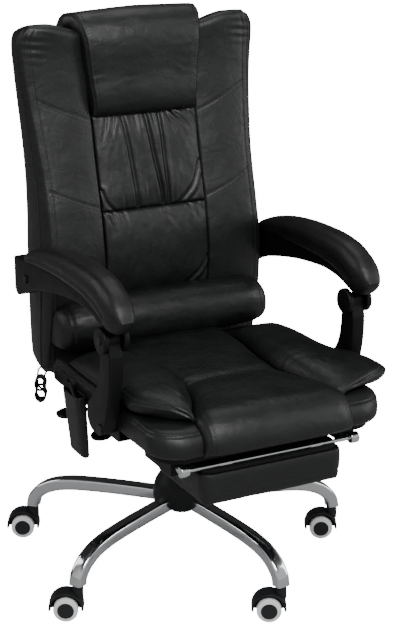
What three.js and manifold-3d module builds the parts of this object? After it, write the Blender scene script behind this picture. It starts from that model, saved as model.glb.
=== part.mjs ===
// Reclining office chair with a slide-out footrest, in millimetres, +Z up.
// The sitter faces -Y. The origin lies on the floor under the middle of the chair's outline.

import * as THREE from 'three';
import { mergeVertices } from 'three/addons/utils/BufferGeometryUtils.js';
import Module from 'manifold-3d';

const wasm = await Module();
wasm.setup();

// Places and clearances shared by the whole chair
const COLUMN_Y = 40; // the swivel axis stands this far behind the origin
const SEAT_GAP = 0.3; // between two pieces that rest on each other
const PIN_CLEARANCE = 0.4; // round a pin that turns in its hole
const PIN_SEGMENTS = 12;
const CUT_OVERRUN = 2; // how far a cutting tool passes the wall it cuts
const DEGREE = Math.PI / 180;
const SAME_DIRECTION = 0.9995; // cosine above which two faces count as one plane
const LEAST_SQUARES_EASE = 0.003;
const GROWTH_LIMIT = 3; // a corner moves out by at most this many gaps

// Star base
const LEG_COUNT = 5;
const BASE_TURN = 8.3; // degrees, first leg from straight ahead
const BASE_RADIUS = 335;
const LEG_WIDTH = 30;
const LEG_HEIGHT = 27;
const LEG_AXIS_Z = 138; // middle of the leg at the hub
const LEG_TIP_Z = 71; // underside of the leg's foot
const LEG_TIP_DEPTH = 25; // radial size of the leg's foot
const LEG_STEPS = 11;
const LEG_SIDES = 10;
const LEG_START_RADIUS = 29;
const LEG_PATH_SHARES = [
  [0, 1], [0.3, 0.995], [0.55, 0.965], [0.72, 0.905], [0.84, 0.78], [0.93, 0.56], [0.985, 0.27], [1, 0],
];
const HUB_RADIUS = 33;
const HUB_BOTTOM_Z = 98;
const HUB_TOP_Z = 160;
const SOCKET_DEPTH = 24; // hole for the caster's stem
const SOCKET_SEGMENTS = 10;

// Bell over the hub
const BELL_RADIUS = 59;
const BELL_NECK_RADIUS = 30;
const BELL_WALL = 2.6;
const BELL_RIM_Z = 129;
const BELL_TOP_Z = 226;
const BELL_SEGMENTS = 18;
const BELL_PROFILE_SHARES = [[0.95, 0], [1, 0.22], [0.86, 0.46], [0.42, 0.68], [0.12, 0.86], [0, 1]];
const BELL_NOTCH_MARGIN = 0.4;

// Gas lift
const CYLINDER_RADIUS = 25;
const CYLINDER_BOTTOM_Z = 92;
const CYLINDER_TOP_Z = 318;
const CYLINDER_TAPER = 1.6;
const CYLINDER_TAPER_LENGTH = 60;
const CYLINDER_LIP = 3;
const PISTON_RADIUS = 14;
const PISTON_BOTTOM_Z = 150;
const PISTON_TIP_RADIUS = 12.5;
const PISTON_CONE_LENGTH = 34;
const COLUMN_SEGMENTS = 18;

// Casters
const CASTER_TURN = 152.3; // degrees, direction in which the wheels trail
const CASTER_TRAIL = 23;
const WHEEL_RADIUS = 25;
const WHEEL_WIDTH = 18.5;
const WHEEL_SEGMENTS = 16;
const WHEEL_SPACING = 10; // between the two wheels
const WHEEL_CAP_RADIUS = 17.2;
const WHEEL_CAP_RISE = 1.2;
const WHEEL_EDGE = 3;
const AXLE_RADIUS = 4;
const AXLE_END_WALL = 4;
const AXLE_SEGMENTS = 8;
const HOOD_RADIUS = 34.5;
const HOOD_WALL = 5;
const HOOD_WIDTH = 38;
const HOOD_REACH = 94; // degrees from the top to either end
const HOOD_SEGMENTS = 8;
const HOOD_WEB = 7.4;
const CASTER_BOSS_RADIUS = 11;
const CASTER_BOSS_TOP_GAP = 1.4; // below the leg's foot
const STEM_RADIUS = 5.5;
const STEM_LENGTH = 23;

// Seat
const SEAT_HALF_WIDTH = 240;
const SEAT_FRONT_Y = -398;
const SEAT_REAR_Y = 98;
const SEAT_BOTTOM_Z = 400;
const SEAT_TOP_Z = 452;
const SEAT_NOSE_RADIUS = 36;
const SEAT_CORNER_RADIUS = 12;
const SEAT_END_ROUND = 14;
const SEAT_PLAN_CORNER = 62; // seen from above, at the front
const BOARD_THICKNESS = 12;
const BOARD_INSET = 18;
const BOARD_CORNER = 45;
const CENTRE_PAD_THICKNESS = 25;
const CENTRE_PAD_REAR_Y = 88;
const CENTRE_PAD_LOW_Z = 402;
const CENTRE_SEAM_SHARE = 0.52; // place of the cross seam along the pad
const CENTRE_SEAM_DEPTH = 7;
const PAD_SEAM_X = 155; // seam between centre pad and bolster, widest at the front
const PAD_SEAM_SHARES = [[0, 0.8], [0.2, 0.78], [0.42, 0.7], [0.62, 0.69], [0.8, 0.79], [0.92, 0.94], [1, 1]];
const BOLSTER_REAR_Y = 36;
const BOLSTER_FRONT_Y = -368;
const BOLSTER_REACH = 264;
const BOLSTER_OUTER_SHARES = [
  [0, 0.88], [0.1, 0.905], [0.3, 0.91], [0.6, 0.915], [0.73, 0.917], [0.78, 0.95], [0.84, 1], [0.88, 0.985],
  [0.94, 0.9], [1, 0.72],
];
const BOLSTER_INNER_TIP_SHARES = [[0, 0], [0.9, 0], [1, 0.02]];
const BOLSTER_CREST = 48; // above the seat's box
const BOLSTER_CREST_SHARES = [[0, 0.42], [0.12, 0.72], [0.35, 0.95], [0.6, 1], [0.85, 0.92], [1, 0.55]];
const BOLSTER_DROOP = 10;

// Back
const BACK_BOTTOM_Z = 406;
const BACK_TOP_Z = 1104;
const BACK_HALF_WIDTH = 252;
const BACK_HALF_WIDTH_SHARES = [
  [0, 0.9], [0.02, 0.935], [0.1, 0.945], [0.27, 0.945], [0.36, 0.95], [0.44, 0.943], [0.55, 0.948],
  [0.65, 0.965], [0.76, 0.987], [0.87, 1], [0.95, 1], [0.98, 0.975], [1, 0.92],
];
const BACK_TOP_DIP = 20; // the top edge is lower between the wings
const BACK_FRONT_Y = 98; // most forward place of the front, at the small of the back
const BACK_FRONT_RISE = 86; // how far the front leans back from there
const BACK_FRONT_SHARES = [
  [0, 0.44], [0.1, 0.22], [0.22, 0.05], [0.34, 0], [0.46, 0.16], [0.58, 0.42], [0.7, 0.66],
  [0.8, 0.85], [0.9, 0.97], [1, 1],
];
const BACK_REAR_Y = 256; // most rearward place
const BACK_REAR_RISE = 40;
const BACK_REAR_SHARES = [[0, 0], [0.2, 0.22], [0.4, 0.5], [0.6, 0.74], [0.8, 0.94], [0.92, 1], [1, 0.88]];
const CUSHION_SIDE = 38; // depth of the front cushion's side wall at its thickest
const CUSHION_SIDE_SHARES = [[0, 0.5], [0.15, 0.85], [0.35, 1], [0.6, 0.8], [0.85, 0.45], [1, 0.3]];
const CUSHION_RECESS = 12; // the middle strip lies this far behind the wings
const MIDDLE_HALF_WIDTH = 114;
const WING_CROWN = 9;
const PANEL_HALF_WIDTH = 112;
const RUCHED_BOTTOM_Z = 730;
const RUCHED_TOP_Z = 908;
const RUCHED_THICKNESS = 26;
const RUCHED_FOLDS = 7;
const RUCHED_FOLD_DEPTH = 4.5;
const LOWER_BOTTOM_Z = 566;
const LOWER_THICKNESS = 24;
const PANEL_SEAM_GAP = 1;
const BACK_PAD_GAP = 0.5; // between the back and the pads on it
const PANEL_SINK = 10; // how far a raw panel reaches into the cushion before it is cut
const PILLOW_HALF_TOP = 147;
const PILLOW_HALF_BOTTOM = 113;
const PILLOW_BOTTOM_Z = 911;
const PILLOW_THICKNESS = 42;
const PILLOW_EDGE_SHARE = 0.4; // height of its side wall
const PILLOW_REAR_Z = 1036;
const PILLOW_SHOULDER = 22; // rounding of the back's top edge under the pillow
const PILLOW_SINK = 7;
const ROLL_HALF_LENGTH = 243;
const ROLL_RADIUS_Y = 66;
const ROLL_RADIUS_Z = 54;
const ROLL_Y = 102;
const ROLL_Z = 512;
const ROLL_END_SINK = 20; // how far the thinner ends sit below the middle
const ROLL_END_SHARES = [[0.45, 0.985], [0.78, 0.9], [0.92, 0.8], [0.98, 0.66], [1, 0.48]];
const ROLL_SIDES = 18;
const ROLL_GAP = 1.5; // between the roll and the seat when the back is upright

// Recline hinge and back frame
const RECLINE_Y = 150;
const RECLINE_Z = 385;
const HINGE_X = 118; // middle of each hinge
const HINGE_LUG_THICKNESS = 5;
const HINGE_LUG_RADIUS = 15;
const HINGE_PIN_RADIUS = 6;
const HINGE_LUG_SPACE = 14; // between the two seat lugs of one hinge
const CROSSMEMBER_FRONT_Y = 20;
const CROSSMEMBER_HALF_WIDTH = 150;
const STEEL_THICKNESS = 4;
const BACK_PLATE_HEIGHT = 5;
const BACK_PLATE_HALF_WIDTH = 150;
const BACK_PLATE_FRONT_Y = 142;
const BACK_PLATE_REAR_Y = 206;

// Mechanism under the seat
const MECHANISM_HALF_WIDTH = 88;
const MECHANISM_FRONT_Y = -104;
const MECHANISM_REAR_Y = 96;
const MECHANISM_PLATE = 4;
const CHANNEL_BOTTOM_Z = 334;
const CHANNEL_HALF_TOP = 60;
const CHANNEL_HALF_BOTTOM = 46;
const CHANNEL_WALL = 3;
const CHANNEL_FRONT_Y = -98;
const CHANNEL_REAR_Y = 74;
const BOSS_RADIUS = 22;
const BOSS_BOTTOM_Z = 328;
const LEVER_Z = 344;
const LEVER_RADIUS = 4;
const LEVER_INNER_X = 34;
const HEIGHT_LEVER_Y = -66;
const HEIGHT_PADDLE_Y = -86;
const RECLINE_LEVER_Y = 48;
const RECLINE_PADDLE_Y = 52;
const HEIGHT_PADDLE_X = -217; // middle of the paddle
const RECLINE_PADDLE_X = -231;
const PADDLE_LENGTH = 42;
const PADDLE_END_SHARE = 0.82;
const PADDLE_WIDTH = 27;
const PADDLE_THICKNESS = 11;

// Arms
const STRAP_THICKNESS = 3;
const STRAP_WIDTH = 38;
const STRAP_INNER_X = 206;
const STRAP_TOP_Z = 446;
const POST_GAP = 1.2; // between the strap and the post
const POST_WIDTH = 28;
const POST_EYE_RADIUS = 15;
const POST_PIVOT_Y = -205;
const POST_PIVOT_Z = 408;
const POST_FOOT_Z = 399; // level that the post's outline starts from
const POST_DEPTH = 108; // front to back over the lobe
const POST_HEIGHT = 188;
const POST_BEVEL = 3;
const KNUCKLE_Y = -235;
const KNUCKLE_Z = 593;
const KNUCKLE_PIN_RADIUS = 5;
const CHEEK_RADIUS = 25;
const CHEEK_THICKNESS = 11;
const CHEEK_GAP = 0.7;
const PIVOT_PIN_RADIUS = 6;
const PIVOT_CAP_RADIUS = 11;
const PIVOT_CAP_THICKNESS = 3;
const REAR_PIVOT_Y = 135;
const REAR_PIVOT_Z = 608;
const REAR_BOLT_RADIUS = 5;
const REAR_BOLT_PLAY = 2.4; // slack that the linkage needs here
const REAR_BOLT_HEAD_RADIUS = 9;
const ARM_HALF_WIDTH = 15.5;
const ARM_SHIFT = 3; // the beam stands outward of the post's middle
const ARM_BEVEL = 2.5;
const ARM_REAR_Y = 196;
const ARM_LENGTH = 458; // from the rear end to the nose of the beam
const ARM_TOP_Z = 656;
const ARM_DROP = 94; // from the top of the beam down to its lowest place
const ARM_STATIONS = 10;
const PAD_REAR_Y = 166;
const PAD_FRONT_Y = -304;
const PAD_CREST_Z = 709;
const PAD_RISE = 70; // height that the crest line varies over
const PAD_HALF_WIDTH = 29;
const PAD_REAR_HALF_WIDTH = 21;
const PAD_SIDES = 11;

// Footrest
const RAIL_X = 180;
const RAIL_Z = 368;
const RAIL_RADIUS = 10;
const RAIL_REAR_Y = 44;
const RAIL_WALL = 1.8;
const RAIL_SEGMENTS = 12;
const CROSSBAR_Y = -368;
const CROSSBAR_RADIUS = 4;
const BARREL_RADIUS = 11;
const BARREL_HALF_LENGTH = 9;
const GUIDE_FRONT_Y = -346;
const GUIDE_REAR_Y = -236;
const GUIDE_WALL = 5;
const EYE_RADIUS = 8;
const EYE_WIDTH = 26;
const EYE_X = 96;
const REST_BOARD_THICKNESS = 7;
const REST_HALF_WIDTH = 150;
const REST_BOARD_INSET = 12;
const REST_TOP_Z = 357;
const REST_THICKNESS = 66;
const REST_FRONT_Y = -386;
const REST_REAR_Y = -176;
const REST_CORNER = 22;

// Remote control
const POUCH_TOP_Y = -38;
const POUCH_BOTTOM_Y = -57;
const POUCH_TOP_Z = 424;
const POUCH_BOTTOM_Z = 302;
const POUCH_TOP_WIDTH = 66;
const POUCH_BOTTOM_WIDTH = 40;
const POUCH_THICKNESS = 24;
const POUCH_BOTTOM_THICKNESS = 17;
const POUCH_WALL = 2;
const POUCH_RINGS = 3;
const POUCH_SIDES = 12;
const HANDSET_WIDTH = 35;
const HANDSET_THICKNESS = 12;
const HANDSET_BOTTOM_Z = 318;
const HANDSET_TOP_Z = 438;
const HANDSET_LEAN = 68; // to the rear per length of the handset
const HANDSET_LEAN_START = 0.6;
const HANDSET_SIDES = 12;
const CORD_DIAMETER = 4;
const CORD_SIDES = 8;
const HANK_TURNS = 5.5;
const HANK_PITCH = 4.7;
const HANK_HALF_HEIGHT = 25;
const HANK_HALF_WIDTH = 12.5;
const HANK_WAIST_SHARE = 0.55;
const HANK_WAIST_REACH = 8;
const HANK_STEPS = 24;
const HANK_SIDES = 6;
const HANK_CENTRE = [-264, 104, 386];
const HANK_VIEW_TURN = -27.7; // degrees, the loops face a viewer at the front right corner
const CORD_STEP_DIAMETERS = 2.5; // step of a free stretch of cord
const CORD_EXIT_ROUTE = [
  [-240.6, 74, 426], [-244.6, 74, 426], [-249.5, 77.5, 427], [-253, 86, 429.5], [-256.8, 98, 430.5],
  [-260.3, 109.5, 428], [-262.4, 117.3, 420.5], [-263.2, 120.3, 409], [-263.9, 119.4, 398], [-264.1, 118.6, 390.3],
  [-264.1, 118.6, 386.3],
];
const CORD_LEAD_ROUTE = [
  [-263.9, 89.4, 386.3], [-263.9, 89.4, 390.3], [-265, 86.3, 399], [-266.8, 80, 412], [-267.3, 71, 426],
  [-266.8, 59, 438], [-265, 44, 447], [-262.5, 28, 451.5], [-259, 12, 453], [-255, -1, 450.5], [-252.8, -8.5, 446.5],
  [-252.3, -10.8, 442.3], [-252.3, -10.8, 438.3],
];

// Materials: colour, roughness, metalness
const FINISHES = {
  leather: [0x242526, 0.5, 0],
  plastic: [0x1e1f20, 0.45, 0],
  steel: [0x2b2c2e, 0.5, 0.6],
  chrome: [0xd9dbdc, 0.12, 1],
  tyre: [0xdfe1e2, 0.5, 0],
  wood: [0xa98a5e, 0.8, 0],
  cord: [0x1b1b1c, 0.6, 0],
  fabric: [0x1a1a1b, 0.9, 0],
};

function material(finish) {
  const [color, roughness, metalness] = FINISHES[finish];
  return new THREE.MeshStandardMaterial({ color, roughness, metalness });
}

// Shared geometry helpers

/** A closed mesh ready for booleans: only positions, shared corners merged. */
function bare(geometry) {
  const copy = geometry.clone();
  copy.deleteAttribute('normal');
  copy.deleteAttribute('uv');
  return mergeVertices(copy, 1e-4);
}

/** Turns the triangles round where the mesh encloses a negative volume. */
function outward(geometry) {
  const p = geometry.getAttribute('position');
  const index = geometry.getIndex().array;
  const [a, b, c] = [new THREE.Vector3(), new THREE.Vector3(), new THREE.Vector3()];
  let volume = 0;
  for (let i = 0; i < index.length; i += 3) {
    a.fromBufferAttribute(p, index[i]);
    b.fromBufferAttribute(p, index[i + 1]);
    c.fromBufferAttribute(p, index[i + 2]);
    volume += a.dot(b.cross(c));
  }
  if (volume < 0) {
    for (let i = 0; i < index.length; i += 3) [index[i], index[i + 1]] = [index[i + 1], index[i]];
  }
  return geometry;
}

function solid(geometry) {
  const mesh = outward(bare(geometry));
  return new wasm.Manifold(new wasm.Mesh({
    numProp: 3,
    vertProperties: new Float32Array(mesh.getAttribute('position').array),
    triVerts: new Uint32Array(mesh.getIndex().array),
  }));
}

function geometryOf(manifold) {
  const mesh = manifold.getMesh();
  const geometry = new THREE.BufferGeometry();
  geometry.setAttribute('position', new THREE.BufferAttribute(new Float32Array(mesh.vertProperties), 3));
  geometry.setIndex(new THREE.BufferAttribute(new Uint32Array(mesh.triVerts), 1));
  geometry.computeVertexNormals();
  return geometry;
}

function join(first, ...others) {
  return geometryOf(others.reduce((sum, other) => sum.add(solid(other)), solid(first)));
}

function cut(body, ...tools) {
  return geometryOf(tools.reduce((rest, tool) => rest.subtract(solid(tool)), solid(body)));
}

/** The part that two bodies share. */
function meet(a, b) {
  return geometryOf(solid(a).intersect(solid(b)));
}

/** The distinct directions that the faces round each corner of a merged mesh look in. */
function cornerNormals(geometry) {
  const p = geometry.getAttribute('position');
  const index = geometry.getIndex().array;
  const corners = Array.from({ length: p.count }, () => []);
  const face = new THREE.Triangle();
  for (let i = 0; i < index.length; i += 3) {
    const triple = [index[i], index[i + 1], index[i + 2]];
    face.setFromAttributeAndIndices(p, ...triple);
    const normal = face.getNormal(new THREE.Vector3());
    if (normal.lengthSq() === 0) continue;
    for (const k of triple) {
      if (corners[k].every((other) => other.dot(normal) < SAME_DIRECTION)) corners[k].push(normal);
    }
  }
  return corners;
}

/** A copy with every face moved out by a gap, to cut a neighbour with. */
function grown(geometry, gap = SEAT_GAP) {
  const copy = outward(bare(geometry));
  const p = copy.getAttribute('position');
  cornerNormals(copy).forEach((normals, k) => {
    // least squares: the corner moves so that each face round it moves out by the gap
    const m = new THREE.Matrix3().multiplyScalar(LEAST_SQUARES_EASE);
    const sum = new THREE.Vector3();
    for (const n of normals) {
      const [x, y, z] = n.toArray();
      [x * x, x * y, x * z, y * x, y * y, y * z, z * x, z * y, z * z].forEach((value, i) => { m.elements[i] += value; });
      sum.add(n);
    }
    const move = sum.multiplyScalar(gap).applyMatrix3(m.invert()).clampLength(0, gap * GROWTH_LIMIT);
    p.setXYZ(k, p.getX(k) + move.x, p.getY(k) + move.y, p.getZ(k) + move.z);
  });
  return copy;
}

/** The same shape on the other side of the chair's middle plane. */
function mirrored(geometry) {
  const copy = bare(geometry);
  copy.scale(-1, 1, 1);
  outward(copy);
  copy.computeVertexNormals();
  return copy;
}

/** A closed body through rings of points, each end closed by a fan round its middle. */
function loft(rings) {
  const count = rings[0].length;
  const positions = [];
  const middle = (ring) => ring.reduce((sum, p) => sum.add(p), new THREE.Vector3()).divideScalar(ring.length);
  for (const ring of rings) for (const p of ring) positions.push(p.x, p.y, p.z);
  for (const ring of [rings[0], rings.at(-1)]) {
    const p = middle(ring.map((q) => q.clone()));
    positions.push(p.x, p.y, p.z);
  }
  const index = [];
  for (let r = 0; r + 1 < rings.length; r += 1) {
    for (let i = 0; i < count; i += 1) {
      const [a, b] = [r * count + i, r * count + ((i + 1) % count)];
      index.push(a, b, b + count, a, b + count, a + count);
    }
  }
  const last = (rings.length - 1) * count;
  const [start, end] = [rings.length * count, rings.length * count + 1];
  for (let i = 0; i < count; i += 1) {
    const j = (i + 1) % count;
    index.push(start, j, i, end, last + i, last + j);
  }
  const geometry = new THREE.BufferGeometry();
  geometry.setAttribute('position', new THREE.Float32BufferAttribute(positions, 3));
  geometry.setIndex(index);
  outward(geometry);
  geometry.computeVertexNormals();
  return geometry;
}

/** A pad over a grid: a front and a rear face that share their border, so it is closed. */
function slab(us, vs, front, rear) {
  const [columns, rows] = [us.length, vs.length];
  const positions = [];
  const onBorder = (i, j) => i === 0 || j === 0 || i === columns - 1 || j === rows - 1;
  const frontIndex = [];
  const rearIndex = [];
  const add = (p) => positions.push(p.x, p.y, p.z) / 3 - 1;
  for (let j = 0; j < rows; j += 1) {
    for (let i = 0; i < columns; i += 1) {
      frontIndex.push(add(front(us[i], vs[j])));
      rearIndex.push(onBorder(i, j) ? frontIndex.at(-1) : add(rear(us[i], vs[j])));
    }
  }
  const index = [];
  for (let j = 0; j + 1 < rows; j += 1) {
    for (let i = 0; i + 1 < columns; i += 1) {
      const corners = [j * columns + i, j * columns + i + 1, (j + 1) * columns + i + 1, (j + 1) * columns + i];
      const [a, b, c, d] = corners.map((k) => frontIndex[k]);
      const [e, f, g, h] = corners.map((k) => rearIndex[k]);
      // the diagonal runs away from the slab's corner, so no front triangle lies on a rear one
      const falling = (i === 0 && j === 0) || (i === columns - 2 && j === rows - 2);
      if (falling) index.push(a, b, c, a, c, d, e, g, f, e, h, g);
      else index.push(a, b, d, b, c, d, e, h, f, f, h, g);
    }
  }
  const geometry = new THREE.BufferGeometry();
  geometry.setAttribute('position', new THREE.Float32BufferAttribute(positions, 3));
  geometry.setIndex(index);
  outward(geometry);
  geometry.computeVertexNormals();
  return geometry;
}

/** Value at t of a smooth curve through [t, value] shares. */
function along(shares, t) {
  const last = shares.length - 1;
  let k = shares.findIndex(([at]) => at >= t);
  if (k < 0) k = last;
  if (k === 0) return shares[0][1];
  const slope = (i) => {
    const [lo, hi] = [Math.max(i - 1, 0), Math.min(i + 1, last)];
    return (shares[hi][1] - shares[lo][1]) / (shares[hi][0] - shares[lo][0]);
  };
  const [[t0, v0], [t1, v1]] = [shares[k - 1], shares[k]];
  const width = t1 - t0;
  const s = Math.min((t - t0) / width, 1);
  const [s2, s3] = [s * s, s * s * s];
  return (2 * s3 - 3 * s2 + 1) * v0 + (s3 - 2 * s2 + s) * width * slope(k - 1)
    + (3 * s2 - 2 * s3) * v1 + (s3 - s2) * width * slope(k);
}

function mix(a, b, t) {
  return a + (b - a) * t;
}

/** Evenly spaced values from a to b, both ends included. */
function spread(a, b, count) {
  return Array.from({ length: count }, (_, i) => mix(a, b, i / (count - 1)));
}

/** Points of a squared ellipse; power 2 is an ellipse and higher powers are squarer. */
function squared(halfWidth, halfHeight, count, power) {
  return Array.from({ length: count }, (_, i) => {
    const t = ((i + 0.5) / count) * 2 * Math.PI;
    const bend = (v) => Math.sign(v) * Math.abs(v) ** (2 / power);
    return [halfWidth * bend(Math.cos(t)), halfHeight * bend(Math.sin(t))];
  });
}

/** A round rod from one point to another. */
function rod(from, to, radius, segments) {
  const [a, b] = [new THREE.Vector3(...from), new THREE.Vector3(...to)];
  const geometry = new THREE.CylinderGeometry(radius, radius, a.distanceTo(b), segments);
  const turn = new THREE.Quaternion().setFromUnitVectors(
    new THREE.Vector3(0, 1, 0), b.clone().sub(a).normalize(),
  );
  geometry.applyQuaternion(turn);
  const middle = a.clone().add(b).multiplyScalar(0.5);
  geometry.translate(middle.x, middle.y, middle.z);
  return geometry;
}

/** A block between two corners. */
function block(low, high) {
  const size = high.map((h, i) => h - low[i]);
  const geometry = new THREE.BoxGeometry(...size);
  geometry.translate(...high.map((h, i) => (h + low[i]) / 2));
  return geometry;
}

/** A solid of revolution round the vertical axis from [radius, z] points. */
function turned(profile, segments) {
  const geometry = new THREE.LatheGeometry(profile.map(([r, z]) => new THREE.Vector2(r, z)), segments);
  geometry.rotateX(90 * DEGREE);
  return geometry;
}

/** A side profile in (y, z), carried across the chair from x0 to x1 with rounded edges. */
function acrossChair(points, x0, x1, bevel, bevelSegments) {
  const shape = new THREE.Shape(points.map(([y, z]) => new THREE.Vector2(y, z)));
  const geometry = new THREE.ExtrudeGeometry(shape, {
    depth: x1 - x0 - 2 * bevel,
    bevelEnabled: bevel > 0,
    bevelThickness: bevel,
    bevelSize: bevel,
    bevelOffset: -bevel,
    bevelSegments,
  });
  geometry.applyMatrix4(new THREE.Matrix4().makeBasis(
    new THREE.Vector3(0, 1, 0), new THREE.Vector3(0, 0, 1), new THREE.Vector3(1, 0, 0),
  ));
  geometry.translate(x0 + bevel, 0, 0);
  return geometry;
}

/** Outline points of a rectangle with round corners, in the plane of its two coordinates. */
function roundedRectangle(x0, y0, x1, y1, radius, steps) {
  const corners = [[x1 - radius, y1 - radius, 0], [x0 + radius, y1 - radius, 90],
    [x0 + radius, y0 + radius, 180], [x1 - radius, y0 + radius, 270]];
  return corners.flatMap(([x, y, from]) => spread(from, from + 90, steps + 1).map((a) => (
    [x + radius * Math.cos(a * DEGREE), y + radius * Math.sin(a * DEGREE)])));
}

/** Circle points round a centre, from one angle to another in degrees. */
function arc(cx, cy, radius, from, to, steps) {
  return spread(from, to, steps + 1).map((a) => (
    [cx + radius * Math.cos(a * DEGREE), cy + radius * Math.sin(a * DEGREE)]));
}

const chair = new THREE.Group();
chair.position.y = COLUMN_Y;

function addPiece(name, geometry, finish, parent = chair) {
  const surface = outward(bare(geometry));
  surface.computeVertexNormals();
  const mesh = new THREE.Mesh(surface, material(finish));
  mesh.name = name;
  parent.add(mesh);
  return mesh;
}

// The sitter's left is +X and the sitter's right is -X
const SIDES = [['left', 1], ['right', -1]];

/** A left and a right piece, each cut by its neighbours. */
function addPair(name, geometry, finish, ...neighbours) {
  for (const [side, sign] of SIDES) {
    const body = sign > 0 ? geometry : mirrored(geometry);
    addPiece(`${name}_${side}`, neighbours.length ? cut(body, ...neighbours.map(grown)) : body, finish);
  }
}

// Star base: five arched tubes welded to a hub

/** One leg along +X, its section grown by a margin. */
function leg(margin) {
  const reach = BASE_RADIUS - LEG_START_RADIUS;
  const drop = LEG_AXIS_Z - LEG_TIP_Z;
  const curve = new THREE.CatmullRomCurve3(LEG_PATH_SHARES.map(([out, up]) => (
    new THREE.Vector3(LEG_START_RADIUS + out * reach, 0, LEG_TIP_Z + up * drop))));
  const rings = spread(0, 1, LEG_STEPS).map((t) => {
    const centre = curve.getPoint(t);
    const ahead = t < 1 ? curve.getTangent(t) : new THREE.Vector3(0, 0, -1);
    const up = new THREE.Vector3(-ahead.z, 0, ahead.x);
    const height = mix(LEG_HEIGHT, LEG_TIP_DEPTH, t ** 3) / 2 + margin;
    return squared(LEG_WIDTH / 2 + margin, height, LEG_SIDES, 3.2).map(([across, high]) => (
      centre.clone().add(new THREE.Vector3(0, across, 0)).addScaledVector(up, high)));
  });
  return loft(rings);
}

function turnedLeg(k, margin) {
  const geometry = leg(margin);
  geometry.rotateZ((BASE_TURN - 90 + (k * 360) / LEG_COUNT) * DEGREE);
  return geometry;
}

function legDirection(k) {
  const angle = (BASE_TURN - 90 + (k * 360) / LEG_COUNT) * DEGREE;
  return [Math.cos(angle), Math.sin(angle)];
}

const legNumbers = Array.from({ length: LEG_COUNT }, (_, k) => k);

function starBase() {
  const hub = turned([[0, HUB_BOTTOM_Z], [HUB_RADIUS, HUB_BOTTOM_Z], [HUB_RADIUS, HUB_TOP_Z], [0, HUB_TOP_Z]],
    COLUMN_SEGMENTS);
  const body = join(hub, ...legNumbers.map((k) => turnedLeg(k, 0)));
  const bore = turned([...cylinderOutline(SEAT_GAP, CUT_OVERRUN), [0, CYLINDER_TOP_Z + CUT_OVERRUN]],
    COLUMN_SEGMENTS);
  const sockets = legNumbers.map((k) => {
    const [x, y] = legDirection(k).map((c) => c * BASE_RADIUS);
    return rod([x, y, LEG_TIP_Z - CUT_OVERRUN], [x, y, LEG_TIP_Z + SOCKET_DEPTH],
      STEM_RADIUS + PIN_CLEARANCE, SOCKET_SEGMENTS);
  });
  return cut(body, bore, ...sockets);
}

/** Outside of the gas cylinder as [radius, z], grown by a margin and lengthened by an overrun. */
function cylinderOutline(margin, overrun) {
  return [
    [0, CYLINDER_BOTTOM_Z - overrun],
    [CYLINDER_RADIUS - CYLINDER_TAPER + margin, CYLINDER_BOTTOM_Z - overrun],
    [CYLINDER_RADIUS + margin, CYLINDER_BOTTOM_Z + CYLINDER_TAPER_LENGTH],
    [CYLINDER_RADIUS + margin, CYLINDER_TOP_Z - CYLINDER_LIP],
    [CYLINDER_RADIUS - CYLINDER_LIP + margin, CYLINDER_TOP_Z + overrun],
  ];
}

function gasCylinder() {
  const bore = PISTON_RADIUS + PIN_CLEARANCE;
  const floor = PISTON_BOTTOM_Z - PISTON_RADIUS;
  return turned([...cylinderOutline(0, 0), [bore, CYLINDER_TOP_Z], [bore, floor], [0, floor]], COLUMN_SEGMENTS);
}

function hubCover() {
  const rise = BELL_TOP_Z - BELL_RIM_Z;
  const flare = BELL_RADIUS - BELL_NECK_RADIUS;
  const skin = (inset) => BELL_PROFILE_SHARES.map(([out, up]) => (
    [BELL_NECK_RADIUS + out * flare - inset, BELL_RIM_Z + up * rise]));
  const profile = [...skin(0), ...skin(BELL_WALL).reverse()];
  const bell = turned([...profile, profile[0]], BELL_SEGMENTS);
  return cut(bell, ...legNumbers.map((k) => turnedLeg(k, BELL_NOTCH_MARGIN)));
}

function gasPiston() {
  const top = SEAT_BOTTOM_Z - BOARD_THICKNESS - MECHANISM_PLATE - CUT_OVERRUN;
  return turned([[0, PISTON_BOTTOM_Z], [PISTON_RADIUS, PISTON_BOTTOM_Z],
    [PISTON_RADIUS, top - PISTON_CONE_LENGTH], [PISTON_TIP_RADIUS, top], [0, top]], COLUMN_SEGMENTS);
}

addPiece('star_base', starBase(), 'chrome');
addPiece('hub_cover', hubCover(), 'plastic');
addPiece('gas_cylinder', gasCylinder(), 'steel');
addPiece('gas_piston', gasPiston(), 'chrome');

// Casters: a hooded fork with its stem and axle, and two wheels each

const AXLE_Z = WHEEL_RADIUS * Math.cos(Math.PI / WHEEL_SEGMENTS); // a flat of each tyre lies on the floor
const WHEEL_INNER = WHEEL_SPACING / 2;
const WHEEL_OUTER = WHEEL_INNER + WHEEL_WIDTH;
const AXLE_END = WHEEL_OUTER - AXLE_END_WALL;

/** A side outline round the wheel's axis, extruded over a width along the axle. */
function casterSlice(points, width) {
  const shape = new THREE.Shape(points.map(([x, z]) => new THREE.Vector2(x, z)));
  const geometry = new THREE.ExtrudeGeometry(shape, { depth: width, bevelEnabled: false });
  geometry.translate(0, 0, -width / 2);
  geometry.rotateX(90 * DEGREE);
  return geometry;
}

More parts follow.
